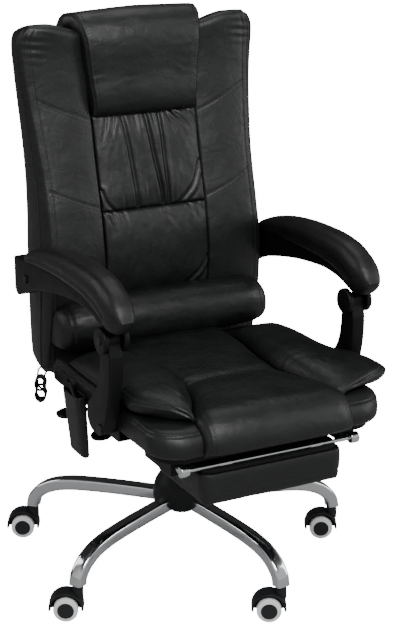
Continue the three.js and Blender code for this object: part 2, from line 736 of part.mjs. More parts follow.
function casterFork() {
  const [from, to] = [90 - HOOD_REACH, 90 + HOOD_REACH];
  const rim = arc(CASTER_TRAIL, AXLE_Z, HOOD_RADIUS, from, to, HOOD_SEGMENTS);
  const inner = arc(CASTER_TRAIL, AXLE_Z, HOOD_RADIUS - HOOD_WALL, to, from, HOOD_SEGMENTS);
  const bossTop = LEG_TIP_Z - CASTER_BOSS_TOP_GAP;
  const well = (side) => rod([CASTER_TRAIL, side * HOOD_WEB / 2, AXLE_Z], [CASTER_TRAIL, side * HOOD_WIDTH, AXLE_Z],
    HOOD_RADIUS - HOOD_WALL, HOOD_SEGMENTS * 2);
  const boss = cut(rod([0, 0, AXLE_Z + HOOD_WALL], [0, 0, bossTop], CASTER_BOSS_RADIUS, HOOD_SEGMENTS),
    well(1), well(-1));
  return join(
    casterSlice([...rim, ...inner], HOOD_WIDTH),
    casterSlice(arc(CASTER_TRAIL, AXLE_Z, HOOD_RADIUS - HOOD_WALL / 2, from, to, HOOD_SEGMENTS), HOOD_WEB),
    boss,
    rod([0, 0, bossTop - HOOD_WALL], [0, 0, LEG_TIP_Z + STEM_LENGTH], STEM_RADIUS, SOCKET_SEGMENTS),
    rod([CASTER_TRAIL, -AXLE_END + SEAT_GAP, AXLE_Z], [CASTER_TRAIL, AXLE_END - SEAT_GAP, AXLE_Z],
      AXLE_RADIUS, AXLE_SEGMENTS),
  );
}

/** Wheel on the +Y side of the fork: tyre, cap and a blind bore for the axle. */
function casterWheel() {
  const bore = AXLE_RADIUS + PIN_CLEARANCE;
  const profile = [
    [0, WHEEL_OUTER], [WHEEL_CAP_RADIUS, WHEEL_OUTER],
    [WHEEL_CAP_RADIUS + WHEEL_CAP_RISE, WHEEL_OUTER - WHEEL_CAP_RISE],
    [WHEEL_RADIUS - WHEEL_EDGE, WHEEL_OUTER - WHEEL_CAP_RISE], [WHEEL_RADIUS, WHEEL_OUTER - WHEEL_EDGE],
    [WHEEL_RADIUS, WHEEL_INNER + WHEEL_EDGE], [WHEEL_RADIUS - WHEEL_EDGE, WHEEL_INNER],
    [bore, WHEEL_INNER], [bore, AXLE_END], [0, AXLE_END],
  ];
  const geometry = turned(profile, WHEEL_SEGMENTS);
  geometry.rotateZ(Math.PI / WHEEL_SEGMENTS);
  geometry.rotateX(-90 * DEGREE);
  return geometry;
}

function addCasters() {
  const fork = casterFork();
  const wheel = casterWheel();
  for (const k of legNumbers) {
    const caster = new THREE.Group();
    const [x, y] = legDirection(k).map((c) => c * BASE_RADIUS);
    caster.position.set(x, y, 0);
    caster.rotation.z = CASTER_TURN * DEGREE;
    chair.add(caster);
    addPiece(`caster_fork_${k + 1}`, fork, 'plastic', caster);
    for (const [letter, turn] of [['a', 0], ['b', 180]]) {
      const mesh = addPiece(`caster_wheel_${k + 1}${letter}`, wheel, 'tyre', caster);
      mesh.position.set(CASTER_TRAIL, 0, AXLE_Z);
      mesh.rotation.z = turn * DEGREE;
    }
  }
}

addCasters();

// Mechanism: a pressed plate with an open channel, the socket for the gas lift, and two levers

const BOARD_BOTTOM_Z = SEAT_BOTTOM_Z - SEAT_GAP - BOARD_THICKNESS;
const PLATE_TOP_Z = BOARD_BOTTOM_Z - SEAT_GAP;

function mechanism() {
  const plate = block([-MECHANISM_HALF_WIDTH, MECHANISM_FRONT_Y, PLATE_TOP_Z - MECHANISM_PLATE],
    [MECHANISM_HALF_WIDTH, MECHANISM_REAR_Y, PLATE_TOP_Z]);
  const wall = (inset, low, high) => [[-CHANNEL_HALF_TOP + inset, high], [-CHANNEL_HALF_BOTTOM + inset, low],
    [CHANNEL_HALF_BOTTOM - inset, low], [CHANNEL_HALF_TOP - inset, high]];
  const channel = (inset, low, high, front, rear) => {
    const shape = new THREE.Shape(wall(inset, low, high).map(([x, z]) => new THREE.Vector2(x, z)));
    const geometry = new THREE.ExtrudeGeometry(shape, { depth: rear - front, bevelEnabled: false });
    geometry.rotateX(90 * DEGREE);
    geometry.translate(0, rear, 0);
    return geometry;
  };
  const under = PLATE_TOP_Z - MECHANISM_PLATE;
  const outer = channel(0, CHANNEL_BOTTOM_Z, under + CUT_OVERRUN / 2, CHANNEL_FRONT_Y, CHANNEL_REAR_Y);
  const hollow = channel(CHANNEL_WALL, CHANNEL_BOTTOM_Z - CUT_OVERRUN, under,
    CHANNEL_FRONT_Y + CHANNEL_WALL, CHANNEL_REAR_Y - CHANNEL_WALL);
  const boss = rod([0, 0, BOSS_BOTTOM_Z], [0, 0, under + CUT_OVERRUN / 2], BOSS_RADIUS, COLUMN_SEGMENTS);
  const pistonTop = SEAT_BOTTOM_Z - BOARD_THICKNESS - MECHANISM_PLATE - CUT_OVERRUN;
  const socket = turned([[0, BOSS_BOTTOM_Z - CUT_OVERRUN],
    [PISTON_RADIUS + SEAT_GAP, BOSS_BOTTOM_Z - CUT_OVERRUN],
    [PISTON_RADIUS + SEAT_GAP, pistonTop - PISTON_CONE_LENGTH],
    [PISTON_TIP_RADIUS + SEAT_GAP, pistonTop + SEAT_GAP], [0, pistonTop + SEAT_GAP]], COLUMN_SEGMENTS);
  // a notch from below, in the channel's wall where a lever runs out through it
  const wallX = mix(CHANNEL_HALF_BOTTOM, CHANNEL_HALF_TOP, (LEVER_Z - CHANNEL_BOTTOM_Z) / (under - CHANNEL_BOTTOM_Z));
  const slot = (rootY, paddleX, paddleY) => {
    const slope = (paddleY - rootY) / (-paddleX - LEVER_INNER_X);
    const y = rootY + slope * (wallX - CHANNEL_WALL / 2 - LEVER_INNER_X);
    const half = LEVER_RADIUS + SEAT_GAP + CHANNEL_WALL * Math.abs(slope);
    return block([-CHANNEL_HALF_TOP - CUT_OVERRUN, y - half, CHANNEL_BOTTOM_Z - CUT_OVERRUN],
      [-LEVER_INNER_X - LEVER_RADIUS, y + half, LEVER_Z + LEVER_RADIUS + SEAT_GAP]);
  };
  const body = join(plate, cut(outer, hollow), boss);
  return cut(body, socket, slot(HEIGHT_LEVER_Y, HEIGHT_PADDLE_X, HEIGHT_PADDLE_Y),
    slot(RECLINE_LEVER_Y, RECLINE_PADDLE_X, RECLINE_PADDLE_Y));
}

/** A lever: a steel rod out of the channel, ending in a flat moulded paddle. */
function lever(rootY, paddleX, paddleY) {
  const stalk = rod([-LEVER_INNER_X, rootY, LEVER_Z], [paddleX, paddleY, LEVER_Z], LEVER_RADIUS, 10);
  const rings = spread(-1, 1, 5).map((t) => {
    const swell = Math.sqrt(1 - PADDLE_END_SHARE * t * t);
    return squared(PADDLE_WIDTH / 2 * swell, PADDLE_THICKNESS / 2 * swell, 12, 2.6).map(([y, z]) => (
      new THREE.Vector3(paddleX - PADDLE_LENGTH * t / 2, paddleY + y, LEVER_Z + z)));
  });
  return join(stalk, loft(rings));
}

addPiece('tilt_mechanism', mechanism(), 'steel');
addPiece('height_lever', lever(HEIGHT_LEVER_Y, HEIGHT_PADDLE_X, HEIGHT_PADDLE_Y), 'plastic');
addPiece('recline_lever', lever(RECLINE_LEVER_Y, RECLINE_PADDLE_X, RECLINE_PADDLE_Y), 'plastic');

// Seat: board, box cushion, centre pad that rolls over the front edge, and two bolsters

function seatBoard() {
  const outline = roundedRectangle(-SEAT_HALF_WIDTH + BOARD_INSET, SEAT_FRONT_Y + BOARD_INSET,
    SEAT_HALF_WIDTH - BOARD_INSET, SEAT_REAR_Y - BOARD_INSET / 2, BOARD_CORNER, 4);
  const shape = new THREE.Shape(outline.map(([x, y]) => new THREE.Vector2(x, y)));
  const geometry = new THREE.ExtrudeGeometry(shape, { depth: BOARD_THICKNESS, bevelEnabled: false });
  geometry.translate(0, 0, BOARD_BOTTOM_Z);
  return geometry;
}

function seatBox() {
  const nose = arc(SEAT_FRONT_Y + SEAT_NOSE_RADIUS, SEAT_TOP_Z - SEAT_NOSE_RADIUS, SEAT_NOSE_RADIUS, 90, 180, 6);
  const low = arc(SEAT_FRONT_Y + SEAT_CORNER_RADIUS, SEAT_BOTTOM_Z + SEAT_CORNER_RADIUS, SEAT_CORNER_RADIUS,
    180, 270, 2);
  const rearLow = arc(SEAT_REAR_Y - SEAT_CORNER_RADIUS, SEAT_BOTTOM_Z + SEAT_CORNER_RADIUS, SEAT_CORNER_RADIUS,
    270, 360, 2);
  const rearTop = arc(SEAT_REAR_Y - SEAT_CORNER_RADIUS, SEAT_TOP_Z - SEAT_CORNER_RADIUS, SEAT_CORNER_RADIUS,
    0, 90, 2);
  const profile = acrossChair([...nose, ...low, ...rearLow, ...rearTop], -SEAT_HALF_WIDTH, SEAT_HALF_WIDTH,
    SEAT_END_ROUND, 3);
  const plan = new THREE.Shape([
    ...arc(SEAT_HALF_WIDTH - SEAT_PLAN_CORNER, SEAT_FRONT_Y + SEAT_PLAN_CORNER, SEAT_PLAN_CORNER, -90, 0, 5),
    [SEAT_HALF_WIDTH, SEAT_REAR_Y], [-SEAT_HALF_WIDTH, SEAT_REAR_Y],
    ...arc(-SEAT_HALF_WIDTH + SEAT_PLAN_CORNER, SEAT_FRONT_Y + SEAT_PLAN_CORNER, SEAT_PLAN_CORNER, 180, 270, 5),
  ].map(([x, y]) => new THREE.Vector2(x, y)));
  const prism = new THREE.ExtrudeGeometry(plan, { depth: SEAT_TOP_Z, bevelEnabled: false });
  return meet(profile, prism);
}

/** Half-width of the centre pad at a place y between the seat's rear and front. */
function padSeamX(y) {
  return PAD_SEAM_X * along(PAD_SEAM_SHARES, (BOLSTER_REAR_Y - y) / (BOLSTER_REAR_Y - BOLSTER_FRONT_Y));
}

/** Place on the box cushion's top and front at a length s from the pad's rear end, and its normal. */
function seatPath(s) {
  const turnY = SEAT_FRONT_Y + SEAT_NOSE_RADIUS;
  const flat = CENTRE_PAD_REAR_Y - turnY;
  const bend = (SEAT_NOSE_RADIUS * Math.PI) / 2;
  if (s <= flat) return { y: CENTRE_PAD_REAR_Y - s, z: SEAT_TOP_Z, ny: 0, nz: 1 };
  if (s <= flat + bend) {
    const a = (s - flat) / SEAT_NOSE_RADIUS;
    const [ny, nz] = [-Math.sin(a), Math.cos(a)];
    return { y: turnY + ny * SEAT_NOSE_RADIUS, z: SEAT_TOP_Z + (nz - 1) * SEAT_NOSE_RADIUS, ny, nz };
  }
  const down = s - flat - bend;
  return { y: SEAT_FRONT_Y, z: SEAT_TOP_Z - SEAT_NOSE_RADIUS - down, ny: -1, nz: 0 };
}

function centrePad() {
  const flat = CENTRE_PAD_REAR_Y - SEAT_FRONT_Y - SEAT_NOSE_RADIUS;
  const bend = (SEAT_NOSE_RADIUS * Math.PI) / 2;
  const total = flat + bend + (SEAT_TOP_Z - SEAT_NOSE_RADIUS - CENTRE_PAD_LOW_Z);
  const flatStations = [0, 0.012, 0.05, 0.18, 0.36, 0.52, 0.58, 0.62, 0.66, 0.8, 1].map((t) => t * flat);
  const bendStations = spread(0, 1, 7).slice(1).map((t) => flat + t * bend);
  const tail = total - flat - bend;
  const tailStations = [0.6, 0.93, 1].map((t) => flat + bend + t * tail);
  const vs = [...flatStations, ...bendStations, ...tailStations];
  const us = [-1, -0.97, -0.88, -0.6, 0, 0.6, 0.88, 0.97, 1];
  const seam = 0.62 * flat;
  const thickness = (u, s) => {
    const side = (1 - Math.abs(u) ** 8) ** 0.5;
    const ends = Math.min(1, (s / (0.06 * flat)) ** 0.5, ((total - s) / tail) ** 0.4);
    const crown = 0.86 + 0.14 * (1 - u * u);
    const dip = CENTRE_SEAM_DEPTH * Math.exp(-(((s - seam) / (0.035 * flat)) ** 2));
    return Math.max(0, (CENTRE_PAD_THICKNESS * crown - dip) * side * ends);
  };
  const point = (u, s, h) => {
    const p = seatPath(s);
    const half = padSeamX(Math.max(p.y, SEAT_FRONT_Y)) - SEAT_GAP;
    return new THREE.Vector3(u * half, p.y + p.ny * h, p.z + p.nz * h);
  };
  const seamHeight = CENTRE_PAD_THICKNESS * 0.3 + SEAT_GAP;
  return slab(us, vs, (u, s) => point(u, s, seamHeight + thickness(u, s) * 0.7), (u, s) => point(u, s, SEAT_GAP));
}

function bolster() {
  const vs = [0, 0.02, 0.08, 0.2, 0.4, 0.6, 0.73, 0.78, 0.83, 0.88, 0.93, 0.97, 1];
  const us = [-1, -0.92, -0.6, 0, 0.6, 0.92, 1];
  const place = (u, v) => {
    const y = mix(BOLSTER_REAR_Y, BOLSTER_FRONT_Y, v);
    const inner = padSeamX(y) + SEAT_GAP + along(BOLSTER_INNER_TIP_SHARES, v) * BOLSTER_REACH;
    const outer = BOLSTER_REACH * along(BOLSTER_OUTER_SHARES, v);
    return [mix(inner, outer, (u + 1) / 2), y];
  };
  const seamHeight = BOLSTER_CREST * 0.28;
  const overhang = (x) => Math.max(0, x - SEAT_HALF_WIDTH + SEAT_END_ROUND)
    / (BOLSTER_REACH - SEAT_HALF_WIDTH + SEAT_END_ROUND);
  const front = (u, v) => {
    const [x, y] = place(u, v);
    const round = (1 - Math.abs(u) ** 3) ** 0.6 * Math.min(1, (v / 0.1) ** 0.5, ((1 - v) / 0.12) ** 0.5);
    const crest = BOLSTER_CREST * along(BOLSTER_CREST_SHARES, v);
    return new THREE.Vector3(x, y, SEAT_TOP_Z + seamHeight - BOLSTER_DROOP * overhang(x)
      + (crest - seamHeight) * round);
  };
  const rear = (u, v) => {
    const [x, y] = place(u, v);
    return new THREE.Vector3(x, y, SEAT_TOP_Z + SEAT_GAP - BOLSTER_DROOP * overhang(x) * 0.5);
  };
  return slab(us, vs, front, rear);
}

addPiece('seat_board', seatBoard(), 'wood');
addPiece('seat_box_cushion', seatBox(), 'leather');
addPiece('seat_centre_pad', cut(centrePad(), grown(rawRoll(), ROLL_GAP)), 'leather');
addPair('seat_bolster', bolster(), 'leather', seatBox(), centrePad());

// Back: rear shell, winged front cushion, and the pads sewn on it

/** Height share of a z between the bottom and the top of the back. */
function backShare(z) {
  return (z - BACK_BOTTOM_Z) / (BACK_TOP_Z - BACK_BOTTOM_Z);
}

function backFront(z) {
  return BACK_FRONT_Y + BACK_FRONT_RISE * along(BACK_FRONT_SHARES, backShare(z));
}

function backParting(z) {
  return backFront(z) + CUSHION_SIDE * along(CUSHION_SIDE_SHARES, backShare(z));
}

function backRear(z) {
  return BACK_REAR_Y - BACK_REAR_RISE * (1 - along(BACK_REAR_SHARES, backShare(z)));
}

/** Place in the plane of the back: u across from -1 to 1, v up from 0 to 1. */
function backPlace(u, v) {
  const x = u * BACK_HALF_WIDTH * along(BACK_HALF_WIDTH_SHARES, v);
  const wing = Math.min(1, Math.max(0, (Math.abs(u) - 0.5) / 0.35));
  const dip = BACK_TOP_DIP * (1 - wing * wing * (3 - 2 * wing));
  return [x, mix(BACK_BOTTOM_Z, BACK_TOP_Z - dip, v)];
}

const BACK_COLUMN_SHARES = [0.44, 0.48, 0.6, 0.86, 0.97, 1];
const BACK_ROWS = [0, 0.015, 0.06, 0.16, 0.27, 0.38, 0.5, 0.62, 0.74, 0.85, 0.93, 0.98, 1];

/** How full a padded face is near its edges: 0 on the border, 1 inside. */
function fullness(u, v, side, end) {
  const across = Math.min(1, Math.sqrt(Math.max(0, (1 - Math.abs(u)) / side)));
  const up = Math.min(1, Math.sqrt(Math.max(0, Math.min(v, 1 - v) / end)));
  return across * up;
}

const BACK_COLUMNS = [...BACK_COLUMN_SHARES.map((u) => -u).reverse(), 0, ...BACK_COLUMN_SHARES];

/** The plane where cushion and shell meet, moved to the rear by an offset. */
function partingFace(offset) {
  return (u, v) => {
    const [x, z] = backPlace(u, v);
    return new THREE.Vector3(x, backParting(z) + offset, z);
  };
}

function shellRear(u, v) {
  const [x, z] = backPlace(u, v);
  return new THREE.Vector3(x, mix(backParting(z) + SEAT_GAP, backRear(z), fullness(u, v, 0.08, 0.03)), z);
}

/** Front of the cushion: two crowned wings and a flat strip between them. */
function cushionFront(u, v) {
  const [x, z] = backPlace(u, v);
  const away = (Math.abs(x) - MIDDLE_HALF_WIDTH) / (BACK_HALF_WIDTH - MIDDLE_HALF_WIDTH);
  const recess = away < 0 ? CUSHION_RECESS : 0;
  const crown = away < 0 ? 0 : WING_CROWN * 3.6 * away * Math.max(0, 1 - away);
  const forward = backParting(z) - backFront(z) - recess + crown - WING_CROWN / 2;
  return new THREE.Vector3(x, backParting(z) - Math.max(forward * fullness(u, v, 0.05, 0.02), 0), z);
}

/** A pad on the cushion's middle strip, before it is cut to the cushion. */
function middlePad(bottom, top, halfWidth, thickness, us, vs, ripple) {
  const place = (u, v) => [u * halfWidth, mix(bottom, top, v)];
  const front = (u, v) => {
    const [x, z] = place(u, v);
    const full = fullness(u, v, 0.14, 0.12);
    const level = backFront(z) + CUSHION_RECESS;
    return new THREE.Vector3(x, level - thickness * full * (1 - ripple(u, v) / thickness), z);
  };
  const rear = (u, v) => {
    const [x, z] = place(u, v);
    return new THREE.Vector3(x, backFront(z) + CUSHION_RECESS + PANEL_SINK, z);
  };
  return slab(us, vs, front, rear);
}

/** Path of the headrest pillow on the back: up its front, over its top and a little down behind. */
function pillowCurve() {
  const front = (z) => backFront(z) + CUSHION_RECESS + WING_CROWN / 2;
  const top = BACK_TOP_Z - BACK_TOP_DIP;
  const shoulder = top - PILLOW_SHOULDER;
  const rear = backRear(top);
  const points = [
    [front(PILLOW_BOTTOM_Z), PILLOW_BOTTOM_Z],
    [front(mix(PILLOW_BOTTOM_Z, shoulder, 0.5)), mix(PILLOW_BOTTOM_Z, shoulder, 0.5)],
    [front(shoulder), shoulder],
    [front(shoulder) + PILLOW_SHOULDER * 0.6, top - SEAT_GAP],
    [(front(shoulder) + rear) / 2, top + CUT_OVERRUN],
    [rear - PILLOW_SHOULDER * 0.7, top - SEAT_GAP],
    [rear, shoulder],
    [backRear(PILLOW_REAR_Z), PILLOW_REAR_Z],
  ];
  return new THREE.CatmullRomCurve3(points.map(([y, z]) => new THREE.Vector3(0, y, z)), false, 'centripetal');
}

function rawPillow() {
  const curve = pillowCurve();
  const vs = [0, 0.02, 0.08, 0.2, 0.34, 0.46, 0.54, 0.61, 0.68, 0.75, 0.83, 0.94, 1];
  const us = [-1, -0.98, -0.88, 0, 0.88, 0.98, 1];
  const face = (u, v, depth) => {
    const p = curve.getPoint(v);
    const ahead = curve.getTangent(v);
    const out = new THREE.Vector3(0, -ahead.z, ahead.y);
    const half = mix(PILLOW_HALF_BOTTOM, PILLOW_HALF_TOP, Math.min(1, v / 0.55));
    return new THREE.Vector3(u * half, p.y, p.z).addScaledVector(out, depth);
  };
  const depth = (u, v) => PILLOW_THICKNESS * mix(PILLOW_EDGE_SHARE, 1, fullness(u, v, 0.08, 0.1));
  return slab(us, vs, (u, v) => face(u, v, depth(u, v)), (u, v) => face(u, v, -PILLOW_SINK));
}

/** Lumbar roll: a D-shaped bolster across the whole back, its ends rounded behind a seam. */
function rawRoll() {
  const right = ROLL_END_SHARES.map(([t, scale]) => [ROLL_HALF_LENGTH * t, scale]);
  const stations = [...right.map(([x, scale]) => [-x, scale]).reverse(), [0, 1], ...right];
  const rings = stations.map(([x, scale]) => squared(ROLL_RADIUS_Y * scale, ROLL_RADIUS_Z * scale, ROLL_SIDES, 2.3)
    .map(([y, z]) => new THREE.Vector3(x, ROLL_Y + y, ROLL_Z - ROLL_END_SINK * (1 - scale) + z)));
  return loft(rings);
}

function addBack() {
  const shell = slab(BACK_COLUMNS, BACK_ROWS, partingFace(SEAT_GAP), shellRear);
  const cushion = slab(BACK_COLUMNS, BACK_ROWS, cushionFront, partingFace(0));
  const body = slab(BACK_COLUMNS, BACK_ROWS, cushionFront, shellRear);
  const whole = grown(body, BACK_PAD_GAP);
  const lifted = body.clone().translate(0, 0, BACK_PAD_GAP);
  const forward = body.clone().translate(0, -BACK_PAD_GAP, 0);
  const coarse = [-1, -0.96, -0.86, -0.5, 0, 0.5, 0.86, 0.96, 1];
  const fine = spread(-1, 1, RUCHED_FOLDS * 4 + 1);
  const gather = (u, v) => {
    const fan = u * RUCHED_FOLDS * (1 - 0.12 * v) + 0.25 * Math.sin(v * 3);
    return RUCHED_FOLD_DEPTH * (0.5 - 0.5 * Math.cos(fan * Math.PI)) * (0.55 + 0.45 * v);
  };
  const ruched = middlePad(RUCHED_BOTTOM_Z, RUCHED_TOP_Z, PANEL_HALF_WIDTH, RUCHED_THICKNESS, fine,
    [0, 0.03, 0.12, 0.35, 0.6, 0.88, 0.97, 1], gather);
  const lower = middlePad(LOWER_BOTTOM_Z, RUCHED_BOTTOM_Z - PANEL_SEAM_GAP, PANEL_HALF_WIDTH, LOWER_THICKNESS,
    coarse, [0, 0.03, 0.12, 0.4, 0.7, 0.9, 0.97, 1], () => 0);
  const pillow = cut(rawPillow(), whole, lifted, forward);
  addPiece('back_shell', shell, 'leather');
  addPiece('back_cushion', cushion, 'leather');
  addPiece('back_gathered_pad', cut(ruched, whole, forward, grown(pillow)), 'leather');
  addPiece('back_lower_pad', cut(lower, whole, forward, grown(rawRoll())), 'leather');
  addPiece('headrest_pillow', pillow, 'leather');
  addPiece('lumbar_roll', cut(rawRoll(), whole, forward), 'leather');
}

addBack();

// Recline hinge: two pairs of lugs on a crossmember under the seat, and the back's steel foot between them

/** A flat plate in the (y, z) plane, from x0 to x1. */
function sidePlate(points, x0, x1) {
  return acrossChair(points, x0, x1, 0, 0);
}

function crossmember() {
  const low = BOARD_BOTTOM_Z - SEAT_GAP - STEEL_THICKNESS;
  const plate = block([-CROSSMEMBER_HALF_WIDTH, MECHANISM_REAR_Y + STEEL_THICKNESS, low],
    [CROSSMEMBER_HALF_WIDTH, RECLINE_Y - HINGE_LUG_RADIUS - STEEL_THICKNESS, low + STEEL_THICKNESS]);
  const wing = (sign) => {
    const [near, far] = [MECHANISM_HALF_WIDTH + CUT_OVERRUN, CROSSMEMBER_HALF_WIDTH];
    const [x0, x1] = sign > 0 ? [near, far] : [-far, -near];
    return block([x0, CROSSMEMBER_FRONT_Y, low], [x1, MECHANISM_REAR_Y + CUT_OVERRUN * 3, low + STEEL_THICKNESS]);
  };
  const outline = [
    [MECHANISM_REAR_Y, low + STEEL_THICKNESS / 2], [MECHANISM_REAR_Y + STEEL_THICKNESS, low - HINGE_LUG_RADIUS],
    ...arc(RECLINE_Y, RECLINE_Z, HINGE_LUG_RADIUS, 270, 450, 6),
    [RECLINE_Y - HINGE_LUG_RADIUS, RECLINE_Z + HINGE_LUG_RADIUS * 0.8],
    [RECLINE_Y - HINGE_LUG_RADIUS - STEEL_THICKNESS, low + STEEL_THICKNESS],
  ];
  const parts = [];
  for (const sign of [-1, 1]) {
    for (const x of [HINGE_X - HINGE_LUG_SPACE / 2 - HINGE_LUG_THICKNESS, HINGE_X + HINGE_LUG_SPACE / 2]) {
      const [x0, x1] = sign > 0 ? [x, x + HINGE_LUG_THICKNESS] : [-x - HINGE_LUG_THICKNESS, -x];
      parts.push(sidePlate(outline, x0, x1));
    }
    const reach = HINGE_LUG_SPACE / 2 + HINGE_LUG_THICKNESS + STEEL_THICKNESS / 2;
    parts.push(rod([sign * HINGE_X - reach, RECLINE_Y, RECLINE_Z], [sign * HINGE_X + reach, RECLINE_Y, RECLINE_Z],
      HINGE_PIN_RADIUS, PIN_SEGMENTS));
  }
  return join(plate, wing(1), wing(-1), ...parts);
}

function backFoot() {
  const top = BACK_BOTTOM_Z - SEAT_GAP;
  const plate = block([-BACK_PLATE_HALF_WIDTH, BACK_PLATE_FRONT_Y, top - BACK_PLATE_HEIGHT],
    [BACK_PLATE_HALF_WIDTH, BACK_PLATE_REAR_Y, top]);
  const half = HINGE_LUG_SPACE / 2 - PIN_CLEARANCE * 2;
  const lug = (sign) => sidePlate([
    ...arc(RECLINE_Y, RECLINE_Z, HINGE_LUG_RADIUS - PIN_CLEARANCE, 150, 330, 8),
    [BACK_PLATE_REAR_Y - HINGE_LUG_RADIUS, top - BACK_PLATE_HEIGHT / 2],
    [RECLINE_Y - HINGE_LUG_RADIUS / 2, top - BACK_PLATE_HEIGHT / 2],
  ], sign * HINGE_X - half, sign * HINGE_X + half);
  const bore = (sign) => rod([sign * HINGE_X - half - CUT_OVERRUN, RECLINE_Y, RECLINE_Z],
    [sign * HINGE_X + half + CUT_OVERRUN, RECLINE_Y, RECLINE_Z], HINGE_PIN_RADIUS + PIN_CLEARANCE, PIN_SEGMENTS);
  return cut(join(plate, lug(1), lug(-1)), bore(1), bore(-1));
}

addPiece('recline_crossmember', crossmember(), 'steel');
addPiece('back_foot', backFoot(), 'steel');

// Arms: a strap with a pivot pin on the seat, a post, and a beam with its pad, pinned to the back

const POST_INNER_X = SEAT_HALF_WIDTH + SEAT_GAP + STRAP_THICKNESS + POST_GAP;
const POST_X = POST_INNER_X + POST_WIDTH / 2;

function armStrap() {
  const inner = SEAT_HALF_WIDTH + SEAT_GAP;
  const [y0, y1] = [POST_PIVOT_Y - STRAP_WIDTH / 2, POST_PIVOT_Y + STRAP_WIDTH / 2];
  const low = BOARD_BOTTOM_Z - SEAT_GAP - STRAP_THICKNESS;
  const foot = block([STRAP_INNER_X, y0, low], [inner + STRAP_THICKNESS, y1, low + STRAP_THICKNESS]);
  const upright = block([inner, y0, low], [inner + STRAP_THICKNESS, y1, STRAP_TOP_Z]);
  const outer = POST_X + POST_WIDTH / 2 + SEAT_GAP;
  const pin = rod([inner + STRAP_THICKNESS / 2, POST_PIVOT_Y, POST_PIVOT_Z],
    [outer + PIVOT_CAP_THICKNESS / 2, POST_PIVOT_Y, POST_PIVOT_Z], PIVOT_PIN_RADIUS, PIN_SEGMENTS);
  const cap = rod([outer, POST_PIVOT_Y, POST_PIVOT_Z], [outer + PIVOT_CAP_THICKNESS, POST_PIVOT_Y, POST_PIVOT_Z],
    PIVOT_CAP_RADIUS, PIN_SEGMENTS);
  return join(foot, upright, pin, cap);
}

/** Side outline of the post: an eye at the top and a broad lobe round the lower pivot. */
const POST_REAR_SHARES = [[-0.02, 0.86], [0.0, 0.76], [0.035, 0.6], [0.13, 0.48], [0.3, 0.36], [0.5, 0.25], [0.56, 0.13],
  [0.5, 0.03], [0.3, -0.035], [0.08, -0.03], [-0.16, 0.01], [-0.32, 0.07], [-0.44, 0.16], [-0.49, 0.3], [-0.49, 0.5],
  [-0.485, 0.75], [-0.47, 0.85]];

function postOutline() {
  const lobe = POST_REAR_SHARES.map(([y, z]) => (
    [POST_PIVOT_Y + y * POST_DEPTH, POST_FOOT_Z + z * POST_HEIGHT]));
  const eye = arc(KNUCKLE_Y, KNUCKLE_Z, POST_EYE_RADIUS, 205, -25, 8);
  const curve = new THREE.SplineCurve(lobe.map(([y, z]) => new THREE.Vector2(y, z)));
  const smooth = curve.getPoints(22).map((p) => [p.x, p.y]);
  return [...eye, ...smooth];
}

function armPost() {
  const body = acrossChair(postOutline(), POST_INNER_X, POST_INNER_X + POST_WIDTH, POST_BEVEL, 1);
  const through = (y, z, radius) => rod([POST_INNER_X - CUT_OVERRUN, y, z],
    [POST_INNER_X + POST_WIDTH + CUT_OVERRUN, y, z], radius, PIN_SEGMENTS);
  return cut(body, through(KNUCKLE_Y, KNUCKLE_Z, KNUCKLE_PIN_RADIUS + PIN_CLEARANCE),
    through(POST_PIVOT_Y, POST_PIVOT_Z, PIVOT_PIN_RADIUS + PIN_CLEARANCE));
}

const CHEEK_OUTER = POST_WIDTH / 2 + CHEEK_GAP + CHEEK_THICKNESS;
const ARM_X = POST_X + ARM_SHIFT;

/** Top line of the arm beam, as [place from rear to front, height share]. */
const ARM_TOP_SHARES = [[0, 0.84], [0.08, 0.87], [0.3, 0.96], [0.5, 1], [0.68, 0.985], [0.8, 0.93], [0.9, 0.8],
  [0.96, 0.66], [1, 0.5]];
const ARM_UNDER_SHARES = [[0, 0.12], [0.03, 0.01], [0.1, 0.14], [0.2, 0.32], [0.35, 0.51], [0.5, 0.65], [0.65, 0.735],
  [0.75, 0.755], [0.85, 0.7], [0.93, 0.58], [1, 0.5]];

function armTopZ(t) {
  return ARM_TOP_Z - ARM_DROP * (1 - along(ARM_TOP_SHARES, t));
}

function armUnderZ(t) {
  return ARM_TOP_Z - ARM_DROP * (1 - along(ARM_UNDER_SHARES, t));
}

const ARM_NOSE_Y = ARM_REAR_Y - ARM_LENGTH;

